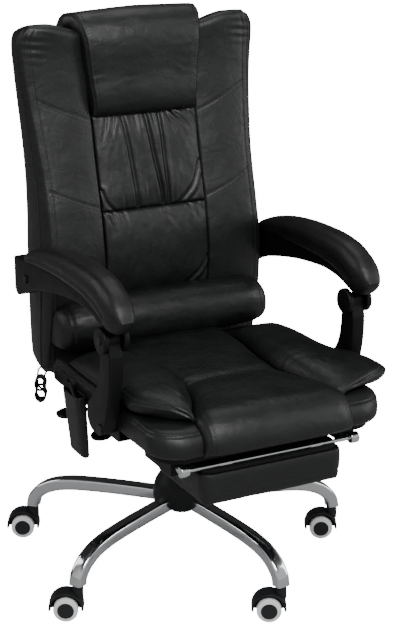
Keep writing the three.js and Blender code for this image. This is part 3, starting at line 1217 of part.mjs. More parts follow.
function armBeam() {
  const stations = spread(0, 1, ARM_STATIONS);
  const top = stations.map((t) => [mix(ARM_REAR_Y, ARM_NOSE_Y, t), armTopZ(t)]);
  const under = stations.slice(0, -1).reverse().map((t) => [mix(ARM_REAR_Y, ARM_NOSE_Y, t), armUnderZ(t)]);
  const beam = acrossChair([...top, ...under], ARM_X - ARM_HALF_WIDTH, ARM_X + ARM_HALF_WIDTH, ARM_BEVEL, 1);
  const cheek = rod([POST_X - CHEEK_OUTER, KNUCKLE_Y, KNUCKLE_Z], [POST_X + CHEEK_OUTER, KNUCKLE_Y, KNUCKLE_Z],
    CHEEK_RADIUS, 18);
  const slotHalf = POST_WIDTH / 2 + CHEEK_GAP;
  const clear = POST_EYE_RADIUS + CHEEK_GAP;
  const slot = block([POST_X - slotHalf, KNUCKLE_Y - CHEEK_RADIUS * 2, KNUCKLE_Z - CHEEK_RADIUS * 2],
    [POST_X + slotHalf, KNUCKLE_Y + CHEEK_RADIUS + CUT_OVERRUN, KNUCKLE_Z + clear]);
  const pinBore = rod([POST_X - CHEEK_OUTER - CUT_OVERRUN, KNUCKLE_Y, KNUCKLE_Z],
    [POST_X + CHEEK_OUTER + CUT_OVERRUN, KNUCKLE_Y, KNUCKLE_Z], KNUCKLE_PIN_RADIUS + SEAT_GAP, PIN_SEGMENTS);
  const boltBore = rod([ARM_X - ARM_HALF_WIDTH - CUT_OVERRUN, REAR_PIVOT_Y, REAR_PIVOT_Z],
    [ARM_X + ARM_HALF_WIDTH + CUT_OVERRUN, REAR_PIVOT_Y, REAR_PIVOT_Z], REAR_BOLT_RADIUS + REAR_BOLT_PLAY, 16);
  return cut(join(beam, cheek), slot, pinBore, boltBore);
}

/** Crest line, nose and width of the arm pad, as [place from rear to front, share]. */
const PAD_CREST_SHARES = [[0, 0.17], [0.04, 0.25], [0.13, 0.4], [0.3, 0.657], [0.54, 0.914], [0.715, 1], [0.885, 0.83],
  [0.96, 0.51], [0.99, 0.19], [1, 0.1]];
const PAD_NOSE_SHARES = [[0.84, -0.37], [0.88, -0.6], [0.93, -0.63], [0.965, -0.51], [0.99, -0.34], [1, -0.2]];
const PAD_FULL_SHARES = [[0, 0.72], [0.03, 0.93], [0.1, 1], [0.8, 1], [0.88, 0.95], [0.94, 0.82], [0.98, 0.6], [1, 0.3]];
const PAD_PLACE_SHARES = [0, 0.03, 0.12, 0.3, 0.5, 0.68, 0.8, 0.87, 0.92, 0.96, 0.985, 1];
const PAD_WIDENING_SHARE = 0.45; // of its length, over which the pad widens from the rear

/** Underside of the pad: a little inside the beam's top, then under the nose. */
function padUnderZ(t, y) {
  if (t < PAD_NOSE_SHARES[0][0]) return armTopZ(Math.min(1, (ARM_REAR_Y - y) / ARM_LENGTH)) - CUT_OVERRUN;
  return ARM_TOP_Z + PAD_RISE * along(PAD_NOSE_SHARES, t);
}

function armPad() {
  const rings = PAD_PLACE_SHARES.map((t) => {
    const y = mix(PAD_REAR_Y, PAD_FRONT_Y, t);
    const under = padUnderZ(t, y);
    const crest = PAD_CREST_Z - PAD_RISE * (1 - along(PAD_CREST_SHARES, t));
    const widening = Math.min(1, t / PAD_WIDENING_SHARE);
    const half = mix(PAD_REAR_HALF_WIDTH, PAD_HALF_WIDTH, widening) * along(PAD_FULL_SHARES, t);
    const x = mix(POST_INNER_X - POST_GAP + PAD_REAR_HALF_WIDTH, POST_X, widening);
    return squared(half, (crest - under) / 2, PAD_SIDES, 2.7).map(([across, up]) => (
      new THREE.Vector3(x + across, y, (crest + under) / 2 + up)));
  });
  return loft(rings);
}

function knucklePin() {
  return rod([POST_X - CHEEK_OUTER, KNUCKLE_Y, KNUCKLE_Z], [POST_X + CHEEK_OUTER, KNUCKLE_Y, KNUCKLE_Z],
    KNUCKLE_PIN_RADIUS, PIN_SEGMENTS);
}

/** Bolt through the arm's rear end into the side of the back. */
function rearBolt() {
  const side = Math.max(...[-1, 0, 1].map((t) => backSideX(REAR_PIVOT_Z + t * REAR_BOLT_HEAD_RADIUS))) + SEAT_GAP;
  const outer = ARM_X + ARM_HALF_WIDTH + SEAT_GAP;
  const shank = rod([side, REAR_PIVOT_Y, REAR_PIVOT_Z], [outer + PIVOT_CAP_THICKNESS / 2, REAR_PIVOT_Y, REAR_PIVOT_Z],
    REAR_BOLT_RADIUS, PIN_SEGMENTS);
  const head = rod([outer, REAR_PIVOT_Y, REAR_PIVOT_Z], [outer + PIVOT_CAP_THICKNESS, REAR_PIVOT_Y, REAR_PIVOT_Z],
    REAR_BOLT_HEAD_RADIUS, PIN_SEGMENTS);
  const washer = rod([side, REAR_PIVOT_Y, REAR_PIVOT_Z], [ARM_X - ARM_HALF_WIDTH - SEAT_GAP, REAR_PIVOT_Y, REAR_PIVOT_Z],
    REAR_BOLT_HEAD_RADIUS, PIN_SEGMENTS);
  return join(shank, head, washer);
}

/** Half-width of the back at a height z. */
function backSideX(z) {
  return BACK_HALF_WIDTH * along(BACK_HALF_WIDTH_SHARES, backShare(z));
}

addPair('arm_strap', armStrap(), 'steel');
addPair('arm_post', armPost(), 'plastic');
addPair('armrest_beam', armBeam(), 'plastic');
addPair('armrest_pad', cut(armPad(), grown(armBeam())), 'leather');
addPair('knuckle_pin', knucklePin(), 'steel');
addPair('arm_rear_bolt', rearBolt(), 'steel');

// Footrest: two rails in guides under the seat, a crossbar, and a board and pad that flip on it

function guide() {
  const half = RAIL_RADIUS + PIN_CLEARANCE + GUIDE_WALL;
  const top = BOARD_BOTTOM_Z - SEAT_GAP;
  const body = block([RAIL_X - half, GUIDE_FRONT_Y, RAIL_Z - half], [RAIL_X + half, GUIDE_REAR_Y, top]);
  const bore = rod([RAIL_X, GUIDE_FRONT_Y - CUT_OVERRUN, RAIL_Z], [RAIL_X, GUIDE_REAR_Y + CUT_OVERRUN, RAIL_Z],
    RAIL_RADIUS + PIN_CLEARANCE, RAIL_SEGMENTS);
  return cut(body, bore);
}

function rail() {
  const front = CROSSBAR_Y + BARREL_RADIUS / 2;
  const tube = rod([RAIL_X, front, RAIL_Z], [RAIL_X, RAIL_REAR_Y, RAIL_Z], RAIL_RADIUS, RAIL_SEGMENTS);
  const hollow = rod([RAIL_X, front + BARREL_RADIUS, RAIL_Z], [RAIL_X, RAIL_REAR_Y + CUT_OVERRUN, RAIL_Z],
    RAIL_RADIUS - RAIL_WALL, RAIL_SEGMENTS);
  const barrel = rod([RAIL_X - BARREL_HALF_LENGTH, CROSSBAR_Y, RAIL_Z], [RAIL_X + BARREL_HALF_LENGTH, CROSSBAR_Y, RAIL_Z],
    BARREL_RADIUS, RAIL_SEGMENTS);
  return cut(join(tube, barrel), hollow);
}

function crossbar() {
  const reach = RAIL_X - BARREL_HALF_LENGTH - SEAT_GAP;
  return rod([-reach, CROSSBAR_Y, RAIL_Z], [reach, CROSSBAR_Y, RAIL_Z], CROSSBAR_RADIUS, 12);
}

function restBoard() {
  const low = REST_TOP_Z + SEAT_GAP;
  const outline = roundedRectangle(-REST_HALF_WIDTH + REST_BOARD_INSET, REST_FRONT_Y + REST_BOARD_INSET,
    REST_HALF_WIDTH - REST_BOARD_INSET, REST_REAR_Y - REST_BOARD_INSET, REST_CORNER / 2, 3);
  const shape = new THREE.Shape(outline.map(([x, y]) => new THREE.Vector2(x, y)));
  const board = new THREE.ExtrudeGeometry(shape, { depth: REST_BOARD_THICKNESS, bevelEnabled: false });
  board.translate(0, 0, low);
  const eye = (sign) => rod([sign * EYE_X - EYE_WIDTH / 2, CROSSBAR_Y, RAIL_Z], [sign * EYE_X + EYE_WIDTH / 2, CROSSBAR_Y, RAIL_Z],
    EYE_RADIUS, PIN_SEGMENTS);
  const bore = rod([-RAIL_X, CROSSBAR_Y, RAIL_Z], [RAIL_X, CROSSBAR_Y, RAIL_Z], CROSSBAR_RADIUS + PIN_CLEARANCE, 12);
  return cut(join(board, eye(1), eye(-1)), bore);
}

function restPad() {
  const us = [-1, -0.985, -0.94, -0.85, -0.5, 0, 0.5, 0.85, 0.94, 0.985, 1];
  const vs = [0, 0.015, 0.07, 0.2, 0.5, 0.8, 0.93, 0.985, 1];
  const depth = REST_REAR_Y - REST_FRONT_Y;
  const place = (u, v) => {
    const y = mix(REST_FRONT_Y, REST_REAR_Y, v);
    const end = Math.min(y - REST_FRONT_Y, REST_REAR_Y - y);
    const inset = end < REST_CORNER ? REST_CORNER - Math.sqrt(REST_CORNER ** 2 - (REST_CORNER - end) ** 2) : 0;
    return [u * (REST_HALF_WIDTH - inset), y];
  };
  const seam = REST_THICKNESS * 0.3;
  const under = (u, v) => {
    const [x, y] = place(u, v);
    const full = fullness(u, v, 0.12, REST_CORNER / depth);
    const crown = 0.9 + 0.1 * (1 - u * u) * (1 - (2 * v - 1) ** 2);
    return new THREE.Vector3(x, y, REST_TOP_Z - seam - (REST_THICKNESS - seam) * full * crown);
  };
  const over = (u, v) => {
    const [x, y] = place(u, v);
    return new THREE.Vector3(x, y, REST_TOP_Z - seam + seam * Math.min(1, fullness(u, v, 0.03, 0.04) * 1.2));
  };
  return slab(us, vs, over, under);
}

addPair('footrest_guide', guide(), 'plastic');
addPair('footrest_rail', rail(), 'chrome');
addPiece('footrest_crossbar', crossbar(), 'chrome');
addPiece('footrest_board', restBoard(), 'plastic');
addPiece('footrest_pad', restPad(), 'leather');

// Remote control in its pouch on the seat's right side, with its tied cord

/** Middle, half-width and thickness of the pouch at a height z. */
function pouchAt(z) {
  const t = (z - POUCH_BOTTOM_Z) / (POUCH_TOP_Z - POUCH_BOTTOM_Z);
  const thickness = mix(POUCH_BOTTOM_THICKNESS, POUCH_THICKNESS, t);
  return {
    x: -SEAT_HALF_WIDTH - SEAT_GAP - thickness / 2,
    y: mix(POUCH_BOTTOM_Y, POUCH_TOP_Y, t),
    half: mix(POUCH_BOTTOM_WIDTH, POUCH_TOP_WIDTH, t) / 2,
    thickness,
  };
}

/** Rings of the tapered pocket, drawn in by an inset all round. */
function pouchRings(inset, low, high) {
  return spread(low, high, POUCH_RINGS).map((z) => {
    const at = pouchAt(z);
    return squared(at.thickness / 2 - inset, at.half - inset, POUCH_SIDES, 4).map(([x, y]) => (
      new THREE.Vector3(at.x + x, at.y + y, z)));
  });
}

function pouch() {
  return cut(loft(pouchRings(0, POUCH_BOTTOM_Z, POUCH_TOP_Z)),
    loft(pouchRings(POUCH_WALL, POUCH_BOTTOM_Z + POUCH_WALL * 2, POUCH_TOP_Z + CUT_OVERRUN)));
}

/** Width and thickness of the handset from its bottom to its top, as [place, width, thickness]. */
const HANDSET_SHARES = [[0, 0.8, 0.7], [0.04, 1, 1], [0.6, 1, 1], [0.78, 0.86, 0.9], [0.93, 0.6, 0.7], [1, 0.45, 0.5]];

function handset() {
  const rings = HANDSET_SHARES.map(([t, wide, thick]) => {
    const z = mix(HANDSET_BOTTOM_Z, HANDSET_TOP_Z, t);
    const at = pouchAt(Math.min(z, POUCH_TOP_Z));
    const lean = HANDSET_LEAN * Math.max(0, t - HANDSET_LEAN_START);
    return squared((HANDSET_THICKNESS / 2) * thick, (HANDSET_WIDTH / 2) * wide, HANDSET_SIDES, 3.4).map(([x, y]) => (
      new THREE.Vector3(at.x + x, at.y + lean + y, z)));
  });
  return loft(rings);
}

addPiece('remote_pouch', pouch(), 'leather');
addPiece('remote_handset', handset(), 'plastic');

/** A free stretch of cord along a smooth curve through its route. */
function cordStretch(route) {
  const curve = new THREE.CatmullRomCurve3(route.map((p) => new THREE.Vector3(...p)), false, 'centripetal');
  const shape = new THREE.Shape(arc(0, 0, CORD_DIAMETER / 2, 0, 360 - 360 / CORD_SIDES, CORD_SIDES - 1)
    .map(([x, y]) => new THREE.Vector2(x, y)));
  const steps = Math.ceil(curve.getLength() / (CORD_DIAMETER * CORD_STEP_DIAMETERS));
  return new THREE.ExtrudeGeometry(shape, { steps, extrudePath: curve, bevelEnabled: false });
}

const HANK_AXIS = new THREE.Vector3(-Math.sin(HANK_VIEW_TURN * DEGREE), Math.cos(HANK_VIEW_TURN * DEGREE), 0);
const HANK_ACROSS = new THREE.Vector3(Math.cos(HANK_VIEW_TURN * DEGREE), Math.sin(HANK_VIEW_TURN * DEGREE), 0);

/** Centre line of the hank after a number of turns: tall loops drawn in at the waist by the tie. */
function hankPoint(turn) {
  const angle = -2 * Math.PI * turn;
  const high = HANK_HALF_HEIGHT * Math.sin(angle);
  const pinch = 1 - (1 - HANK_WAIST_SHARE) * Math.exp(-((high / HANK_WAIST_REACH) ** 2));
  return new THREE.Vector3(...HANK_CENTRE)
    .addScaledVector(HANK_ACROSS, HANK_HALF_WIDTH * Math.cos(angle) * pinch)
    .addScaledVector(HANK_AXIS, (turn - HANK_TURNS / 2) * HANK_PITCH)
    .add(new THREE.Vector3(0, 0, high));
}

function hank() {
  const steps = HANK_TURNS * HANK_STEPS;
  const near = 0.01; // of a turn, for the direction of the cord
  const rings = spread(0, HANK_TURNS, steps + 1).map((turn, i) => {
    const centre = hankPoint(turn);
    const onEnd = i === 0 || i === steps;
    const ahead = onEnd ? new THREE.Vector3(0, 0, i === 0 ? -1 : 1)
      : hankPoint(turn + near).sub(hankPoint(turn - near)).normalize();
    const side = HANK_AXIS.clone().addScaledVector(ahead, -ahead.dot(HANK_AXIS)).normalize();
    const out = new THREE.Vector3().crossVectors(ahead, side);
    return arc(0, 0, CORD_DIAMETER / 2, 0, 360 - 360 / HANK_SIDES, HANK_SIDES - 1).map(([a, b]) => (
      centre.clone().addScaledVector(side, a).addScaledVector(out, b)));
  });
  return loft(rings);
}

/** Least gap between two stretches of the hank, measured on points of its centre line. */
function hankGap() {
  const points = spread(0, HANK_TURNS, HANK_TURNS * HANK_STEPS * 4 + 1).map(hankPoint);
  const apart = HANK_STEPS; // points that lie this near along the cord are the same stretch
  let least = Infinity;
  points.forEach((p, i) => points.slice(i + apart).forEach((q) => { least = Math.min(least, p.distanceTo(q)); }));
  return least - CORD_DIAMETER;
}

addPiece('remote_cord_exit', cordStretch(CORD_EXIT_ROUTE), 'cord');
addPiece('remote_cord_hank', hank(), 'cord');
addPiece('remote_cord_lead', cordStretch(CORD_LEAD_ROUTE), 'cord');

const hankLength = spread(0, HANK_TURNS, 400).map(hankPoint)
  .reduce((sum, p, i, all) => sum + (i ? p.distanceTo(all[i - 1]) : 0), 0);
console.log(`least gap of the hank to itself ${hankGap().toFixed(2)} mm, its cord ${hankLength.toFixed(0)} mm`);

export default chair;
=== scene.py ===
# %% [markdown]
# A reclining office chair with a sliding footrest, dressed in Blender.
# The solid model comes in first and stays where it is. Every soft piece and every rounded hard piece
# is then laid over its own solid as a surface worked out with numpy, and gets a node material.

# %% Load the solid model
import bpy
import bmesh
import numpy as np
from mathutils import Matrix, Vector
from mathutils.bvhtree import BVHTree


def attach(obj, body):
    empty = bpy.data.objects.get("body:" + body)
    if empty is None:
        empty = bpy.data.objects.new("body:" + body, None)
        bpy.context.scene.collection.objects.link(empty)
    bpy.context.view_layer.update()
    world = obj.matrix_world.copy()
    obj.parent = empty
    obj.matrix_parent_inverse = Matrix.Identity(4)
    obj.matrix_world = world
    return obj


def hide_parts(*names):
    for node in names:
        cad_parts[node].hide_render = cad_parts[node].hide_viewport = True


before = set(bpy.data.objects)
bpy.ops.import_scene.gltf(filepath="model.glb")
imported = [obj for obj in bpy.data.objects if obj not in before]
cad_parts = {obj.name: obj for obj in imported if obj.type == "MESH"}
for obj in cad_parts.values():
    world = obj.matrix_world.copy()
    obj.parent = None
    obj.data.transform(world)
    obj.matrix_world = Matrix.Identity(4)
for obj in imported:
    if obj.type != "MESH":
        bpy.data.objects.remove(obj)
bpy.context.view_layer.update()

# %% [markdown]
# The sizes below are the solid model's own, in millimetres, in the chair's frame: the sitter faces -Y
# and the column stands at the origin. Blender wants metres and has its origin 40 mm further forward,
# so one function moves every finished array of points over.

# %% Units and the chair's frame
COLUMN_Y = 40.0


def in_metres(points):
    """Millimetres in the chair's frame to metres in the model's frame: add the column's place, divide by 1000."""
    return (np.asarray(points, float) + (0, COLUMN_Y, 0)) / 1000


# %% [markdown]
# The camera comes first, because the cord must stay within its view. Its place was solved from points
# of the photograph, a normal lens about three metres away, a little above the seat and to the side of
# the chair where the remote hangs.

# %% Camera
CAMERA_PLACE = (-1495.1, -2982.6, 1636.1)
CAMERA_TARGET = (33.8, -17.4, 536.2)
camera_data = bpy.data.cameras.new("camera")
camera_data.sensor_width = 36
camera_data.lens = 101.15
camera = bpy.data.objects.new("camera", camera_data)
bpy.context.scene.collection.objects.link(camera)
camera.location = in_metres(CAMERA_PLACE)
camera.rotation_euler = Vector(in_metres(CAMERA_TARGET) - in_metres(CAMERA_PLACE)).to_track_quat("-Z", "Y").to_euler()
bpy.context.scene.camera = camera

# %% [markdown]
# Four small tools serve all pieces. `along` draws a smooth curve through a few chosen heights,
# `smooth_path` runs a curve through points in space, `wobble` gives calm noise that is the same on
# every run, and `squared` gives a rounded rectangle as one formula. All of them take whole arrays.

# %% Curves and noise
def along(shares, place):
    """Cubic through [place, value] pairs; the slope at a pair is the rise between its two neighbours."""
    at, value = np.array(shares, float).T
    t = np.clip(place, at[0], at[-1])
    k = np.clip(np.searchsorted(at, t, side="left"), 1, len(at) - 1)
    low, high = np.maximum(np.arange(len(at)) - 1, 0), np.minimum(np.arange(len(at)) + 1, len(at) - 1)
    slope = (value[high] - value[low]) / (at[high] - at[low])
    width = at[k] - at[k - 1]
    s = (t - at[k - 1]) / width
    return ((2 * s**3 - 3 * s**2 + 1) * value[k - 1] + (s**3 - 2 * s**2 + s) * width * slope[k - 1]
            + (3 * s**2 - 2 * s**3) * value[k] + (s**3 - s**2) * width * slope[k])


def smooth_path(points, count):
    """Centripetal Catmull-Rom curve through points, sampled evenly in their numbering."""
    p = np.asarray(points, float)
    p = np.vstack([2 * p[0] - p[1], p, 2 * p[-1] - p[-2]])
    t = np.linspace(0, len(p) - 3, count)
    k = np.minimum(t.astype(int), len(p) - 4)
    s = (t - k)[:, None]
    a, b, c, d = p[k], p[k + 1], p[k + 2], p[k + 3]
    ab, bc, cd = (np.sqrt(np.linalg.norm(v, axis=1))[:, None] for v in (b - a, c - b, d - c))
    out = ((b - a) / ab - (c - a) / (ab + bc) + (c - b) / bc) * bc
    into = ((c - b) / bc - (d - b) / (bc + cd) + (d - c) / cd) * bc
    return ((2 * s**3 - 3 * s**2 + 1) * b + (s**3 - 2 * s**2 + s) * out
            + (3 * s**2 - 2 * s**3) * c + (s**3 - s**2) * into)


def wobble(points, size, seed=0):
    """Value noise from -1 to 1: hashed numbers on a lattice of a given size, blended with 3t^2 - 2t^3."""
    q = np.asarray(points, float) / size
    cell = np.floor(q).astype(np.int64)
    f = q - cell
    f = f * f * (3 - 2 * f)
    total = 0
    for corner in np.ndindex(2, 2, 2):
        lattice = cell + corner
        mixed = lattice[..., 0] * 73856093 ^ lattice[..., 1] * 19349663 ^ lattice[..., 2] * 83492791 ^ (seed + 1) * 97531
        mixed = ((mixed ^ (mixed >> 13)) * 1274126177) & 0x7FFFFFFF
        weight = np.prod(np.where(corner, f, 1 - f), axis=-1)
        total = total + weight * ((mixed % 10007) / 5003 - 1)
    return total


def squared(half_width, half_height, count, power):
    """Superellipse outline: cos and sin raised to 2/power, scaled to the two half sizes."""
    t = (np.arange(count) + 0.5) / count * 2 * np.pi
    bend = lambda v: np.sign(v) * np.abs(v) ** (2 / power)
    return np.stack([half_width * bend(np.cos(t)), half_height * bend(np.sin(t))], axis=-1)


def edge_dense(side, edge_count, middle_count):
    """Places from -1 to 1, packed near both ends as side * s^2, so that a rounded edge is well drawn."""
    edge = 1 - side * np.linspace(0, 1, edge_count) ** 2
    middle = np.linspace(-1 + side, 1 - side, middle_count)[1:-1]
    return np.concatenate([-edge, middle, edge[::-1]])


def eased(value, low, high):
    """0 below low, 1 above high, 3t^2 - 2t^3 between."""
    t = np.clip((value - low) / (high - low), 0, 1)
    return t * t * (3 - 2 * t)


# %% [markdown]
# A real material is layered: its colour comes from the dye or the metal, its shine from how smooth the
# surface was left, and its life from small height changes. One function adds a node with its settings
# and links, and every finish below is built from it. Colours are written as sRGB hex and turned to the
# linear values that a shader needs.

# %% Node and colour helpers
def linear(code):
    """sRGB hex to linear: v/12.92 below 0.04045, else ((v + 0.055)/1.055)^2.4."""
    v = np.array([int(code[i:i + 2], 16) for i in (1, 3, 5)]) / 255
    return (*np.where(v <= 0.04045, v / 12.92, ((v + 0.055) / 1.055) ** 2.4), 1.0)


def add(tree, kind, inputs=None, **settings):
    """Adds a node; inputs are values or other nodes' outputs by socket name, settings are properties."""
    node = tree.nodes.new(kind)
    for key, value in settings.items():
        setattr(node, key, value)
    for key, value in (inputs or {}).items():
        if isinstance(value, bpy.types.NodeSocket):
            tree.links.new(value, node.inputs[key])
        else:
            node.inputs[key].default_value = value
    return node


def new_material(name, **surface):
    """A material with one Principled shader whose sockets are set directly; returns it, its tree and shader."""
    material = bpy.data.materials.new(name)
    material.use_nodes = True
    tree = material.node_tree
    shader = tree.nodes["Principled BSDF"]
    for key, value in surface.items():
        shader.inputs[key.replace("_", " ")].default_value = value
    return material, tree, shader


def ramp_between(tree, fac, low, high):
    """A grey ramp from low to high, for roughness or a mask."""
    node = add(tree, "ShaderNodeMapRange", {"Value": fac, "To Min": low, "To Max": high})
    return node.outputs["Result"]


# %% [markdown]
# The upholstery is bonded leather: split hide ground up, bonded to a fabric and embossed with a grain
# under a thin matt polyurethane coat. It is nearly black, yet the coat gives it a wide soft sheen, so
# the folds read by their highlights. The real grain cells are 1.2 mm wide, finer than a pixel of the
# photograph, so they are drawn at 2.4 mm with a shallow bump, and a second bump of about 20 mm gives
# the slight looseness of the hide.

# %% Bonded leather
GRAIN_CELL = 0.0024
LOOSE_HIDE = 0.022


def bonded_leather(name, dark, pale, roughness):
    material, tree, shader = new_material(name)
    place = add(tree, "ShaderNodeTexCoord").outputs["Object"]
    cloud = add(tree, "ShaderNodeTexNoise", {"Vector": place, "Scale": 1 / 0.05, "Detail": 5.0, "Roughness": 0.62})
    colour = add(tree, "ShaderNodeMix", {"Factor": cloud.outputs["Fac"], "A": linear(dark), "B": linear(pale)},
                 data_type="RGBA")
    tree.links.new([s for s in colour.outputs if s.type == "RGBA"][0], shader.inputs["Base Color"])
    tree.links.new(ramp_between(tree, cloud.outputs["Fac"], roughness - 0.14, roughness + 0.16),
                   shader.inputs["Roughness"])
    cells = add(tree, "ShaderNodeTexVoronoi", {"Vector": place, "Scale": 1 / GRAIN_CELL, "Randomness": 0.9},
                feature="DISTANCE_TO_EDGE")
    cell_height = ramp_between(tree, cells.outputs["Distance"], 0.0, 1.0)
    grain = add(tree, "ShaderNodeBump", {"Height": cell_height, "Strength": 0.35, "Distance": 0.0005})
    loose = add(tree, "ShaderNodeTexNoise", {"Vector": place, "Scale": 1 / LOOSE_HIDE, "Detail": 4.0,
                                             "Distortion": 0.6})
    hide = add(tree, "ShaderNodeBump", {"Height": loose.outputs["Fac"], "Strength": 0.5, "Distance": 0.0022,
                                        "Normal": grain.outputs["Normal"]})
    tree.links.new(hide.outputs["Normal"], shader.inputs["Normal"])
    return material


def set_colour_mix(node, a, b):
    """Sets the two colours of a colour Mix node, whose sockets share their names with its other kinds."""
    colours = [s for s in node.inputs if s.type == "RGBA"]
    colours[0].default_value, colours[1].default_value = linear(a), linear(b)


# %% [markdown]
# The arms, the casters' hoods and the bell are injection-moulded nylon with a fine spark-eroded
# texture: matt, deep black, slightly lighter on edges that catch light. The pattern is 1 mm fine in
# reality; it is drawn at 1.5 mm as a weak bump.

# %% Moulded nylon
def moulded_nylon(name, code, roughness):
    material, tree, shader = new_material(name, Base_Color=linear(code), Specular_IOR_Level=0.25)
    place = add(tree, "ShaderNodeTexCoord").outputs["Object"]
    speckle = add(tree, "ShaderNodeTexNoise", {"Vector": place, "Scale": 1 / 0.0015, "Detail": 2.0})
    patch = add(tree, "ShaderNodeTexNoise", {"Vector": place, "Scale": 1 / 0.04, "Detail": 3.0})
    tree.links.new(ramp_between(tree, patch.outputs["Fac"], roughness - 0.05, roughness + 0.07),
                   shader.inputs["Roughness"])
    texture = add(tree, "ShaderNodeBump", {"Height": speckle.outputs["Fac"], "Strength": 0.25, "Distance": 0.0003})
    tree.links.new(texture.outputs["Normal"], shader.inputs["Normal"])
    return material


# %% [markdown]
# The star base is steel tube, polished and chrome plated. Chrome is a mirror with hardly any colour of
# its own, so what it shows is the room: a white floor below and the black chair above. A trace of
# roughness with a slow variation is what polishing leaves.

# %% Chrome, paint and ground steel
def plated_steel(name, code, roughness):
    material, tree, shader = new_material(name, Base_Color=linear(code), Metallic=1.0)
    place = add(tree, "ShaderNodeTexCoord").outputs["Object"]
    haze = add(tree, "ShaderNodeTexNoise", {"Vector": place, "Scale": 1 / 0.03, "Detail": 4.0})
    tree.links.new(ramp_between(tree, haze.outputs["Fac"], roughness * 0.5, roughness * 1.6),
                   shader.inputs["Roughness"])
    return material


def powder_coat(name, code, roughness):
    """Baked powder: an orange-peel surface of 3 mm waves over a matt black."""
    material, tree, shader = new_material(name, Base_Color=linear(code), Roughness=roughness)
    place = add(tree, "ShaderNodeTexCoord").outputs["Object"]
    peel = add(tree, "ShaderNodeTexNoise", {"Vector": place, "Scale": 1 / 0.003, "Detail": 1.0})
    bump = add(tree, "ShaderNodeBump", {"Height": peel.outputs["Fac"], "Strength": 0.2, "Distance": 0.0003})
    tree.links.new(bump.outputs["Normal"], shader.inputs["Normal"])
    return material


def dust_cover(name):
    """Black spunbond cloth stapled over the boards: matt, with 2 mm flecks where its fibres are welded."""
    material, tree, shader = new_material(name, Roughness=0.9)
    place = add(tree, "ShaderNodeTexCoord").outputs["Object"]
    flecks = add(tree, "ShaderNodeTexVoronoi", {"Vector": place, "Scale": 1 / 0.002, "Randomness": 0.3})
    colour = add(tree, "ShaderNodeMix", {"Factor": flecks.outputs["Distance"]}, data_type="RGBA")
    set_colour_mix(colour, "#060606", "#0e0f0f")
    tree.links.new([s for s in colour.outputs if s.type == "RGBA"][0], shader.inputs["Base Color"])
    bump = add(tree, "ShaderNodeBump", {"Height": flecks.outputs["Distance"], "Strength": 0.4, "Distance": 0.0004})
    tree.links.new(bump.outputs["Normal"], shader.inputs["Normal"])
    return material


# %% Make the finishes
FINISH = {
    "leather": bonded_leather("bonded_leather", "#060707", "#0f1111", 0.44),
    "thread": moulded_nylon("bonded_nylon_thread", "#17191a", 0.6),
    "arm_pad": bonded_leather("arm_pad_skin", "#070708", "#0d0d0e", 0.47),
    "nylon": moulded_nylon("moulded_nylon", "#08090a", 0.45),
    "chrome": plated_steel("chrome_plate", "#dfe1e3", 0.09),
    "paint": powder_coat("black_powder_coat", "#0c0c0d", 0.5),
    "rod": plated_steel("ground_steel", "#8d9093", 0.3),
    "tyre": moulded_nylon("pale_polyurethane_tyre", "#f4f4f4", 0.4),
    "hood": moulded_nylon("moulded_nylon_hood", "#1b1c1e", 0.5),
    "cap": moulded_nylon("wheel_cap_nylon", "#26282a", 0.42),
    "lining": dust_cover("spunbond_dust_cover"),
    "cord": moulded_nylon("pvc_cord_sheath", "#0e0e0f", 0.4),
}
print("finishes", len(FINISH))

# %% [markdown]
# Every shape is a stack of closed rings. The mesh maker joins each ring to the next with four-sided
# faces, closes the two ends, merges points that fell together and turns all faces outwards. It also
# hangs the piece on the body that carries it, gives it its finish and hides the solids that it stands for.

# %% Mesh maker
FOLDED_AREA = 1.0


def skin(name, stacks, finish, body, nodes=(), sharp=50):
    """A mesh from stacks of rings, each (rings, points, 3) in the chair's frame; a stack that returns to
    its first ring is a closed loop and gets no ends."""
    points, faces, start = [], [], 0
    for rings in (stacks if isinstance(stacks, list) else [stacks]):
        n, m = rings.shape[:2]
        index = start + np.arange(n * m).reshape(n, m)
        ahead = np.roll(index, -1, axis=1)
        quads = np.stack([index[:-1], ahead[:-1], ahead[1:], index[1:]], axis=-1).reshape(-1, 4)
        faces += quads.tolist()
        looped = np.abs(rings[0] - rings[-1]).max() < 1e-6
        for ring, order in () if looped else ((index[0], -1), (index[-1], 1)):
            spokes = rings.reshape(-1, 3)[ring - start] - rings.reshape(-1, 3)[ring[0] - start]
            if np.abs(np.cross(spokes, np.roll(spokes, -1, axis=0)).sum(0)).max() > FOLDED_AREA:
                faces.append(ring[::order].tolist())
        points.append(in_metres(rings.reshape(-1, 3)))
        start += n * m
    mesh = bpy.data.meshes.new(name)
    mesh.from_pydata(np.concatenate(points).tolist(), [], faces)
    return finished(name, mesh, finish, body, nodes, sharp)


def finished(name, mesh, finish, body, nodes=(), sharp=50):
    """Merges doubled points, turns the faces outwards, gives the piece its finish, hangs it on its body and hides the
    solids it stands for.
    """
    work = bmesh.new()
    work.from_mesh(mesh)
    bmesh.ops.remove_doubles(work, verts=work.verts, dist=2e-6)
    bmesh.ops.dissolve_degenerate(work, edges=work.edges, dist=1e-7)
    bmesh.ops.recalc_face_normals(work, faces=work.faces)
    work.to_mesh(mesh)
    work.free()
    mesh.shade_smooth()
    if sharp:
        mesh.set_sharp_from_angle(angle=np.radians(sharp))
    mesh.materials.append(FINISH[finish])
    piece = bpy.data.objects.new(name, mesh)
    bpy.context.scene.collection.objects.link(piece)
    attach(piece, body)
    if nodes:
        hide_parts(*nodes)
    return piece


def round_a_pad(front, rear):
    """Rings round a pad: left to right over its front, then back over its rear; both share their borders."""
    return np.concatenate([front, rear[:, -2:0:-1]], axis=1)


def mirrored(stack):
    """The same rings on the other side of the chair."""
    return stack * (-1, 1, 1)


SIDES = (("left", 1), ("right", -1))


def for_side(sign, stack):
    return stack if sign > 0 else mirrored(stack)


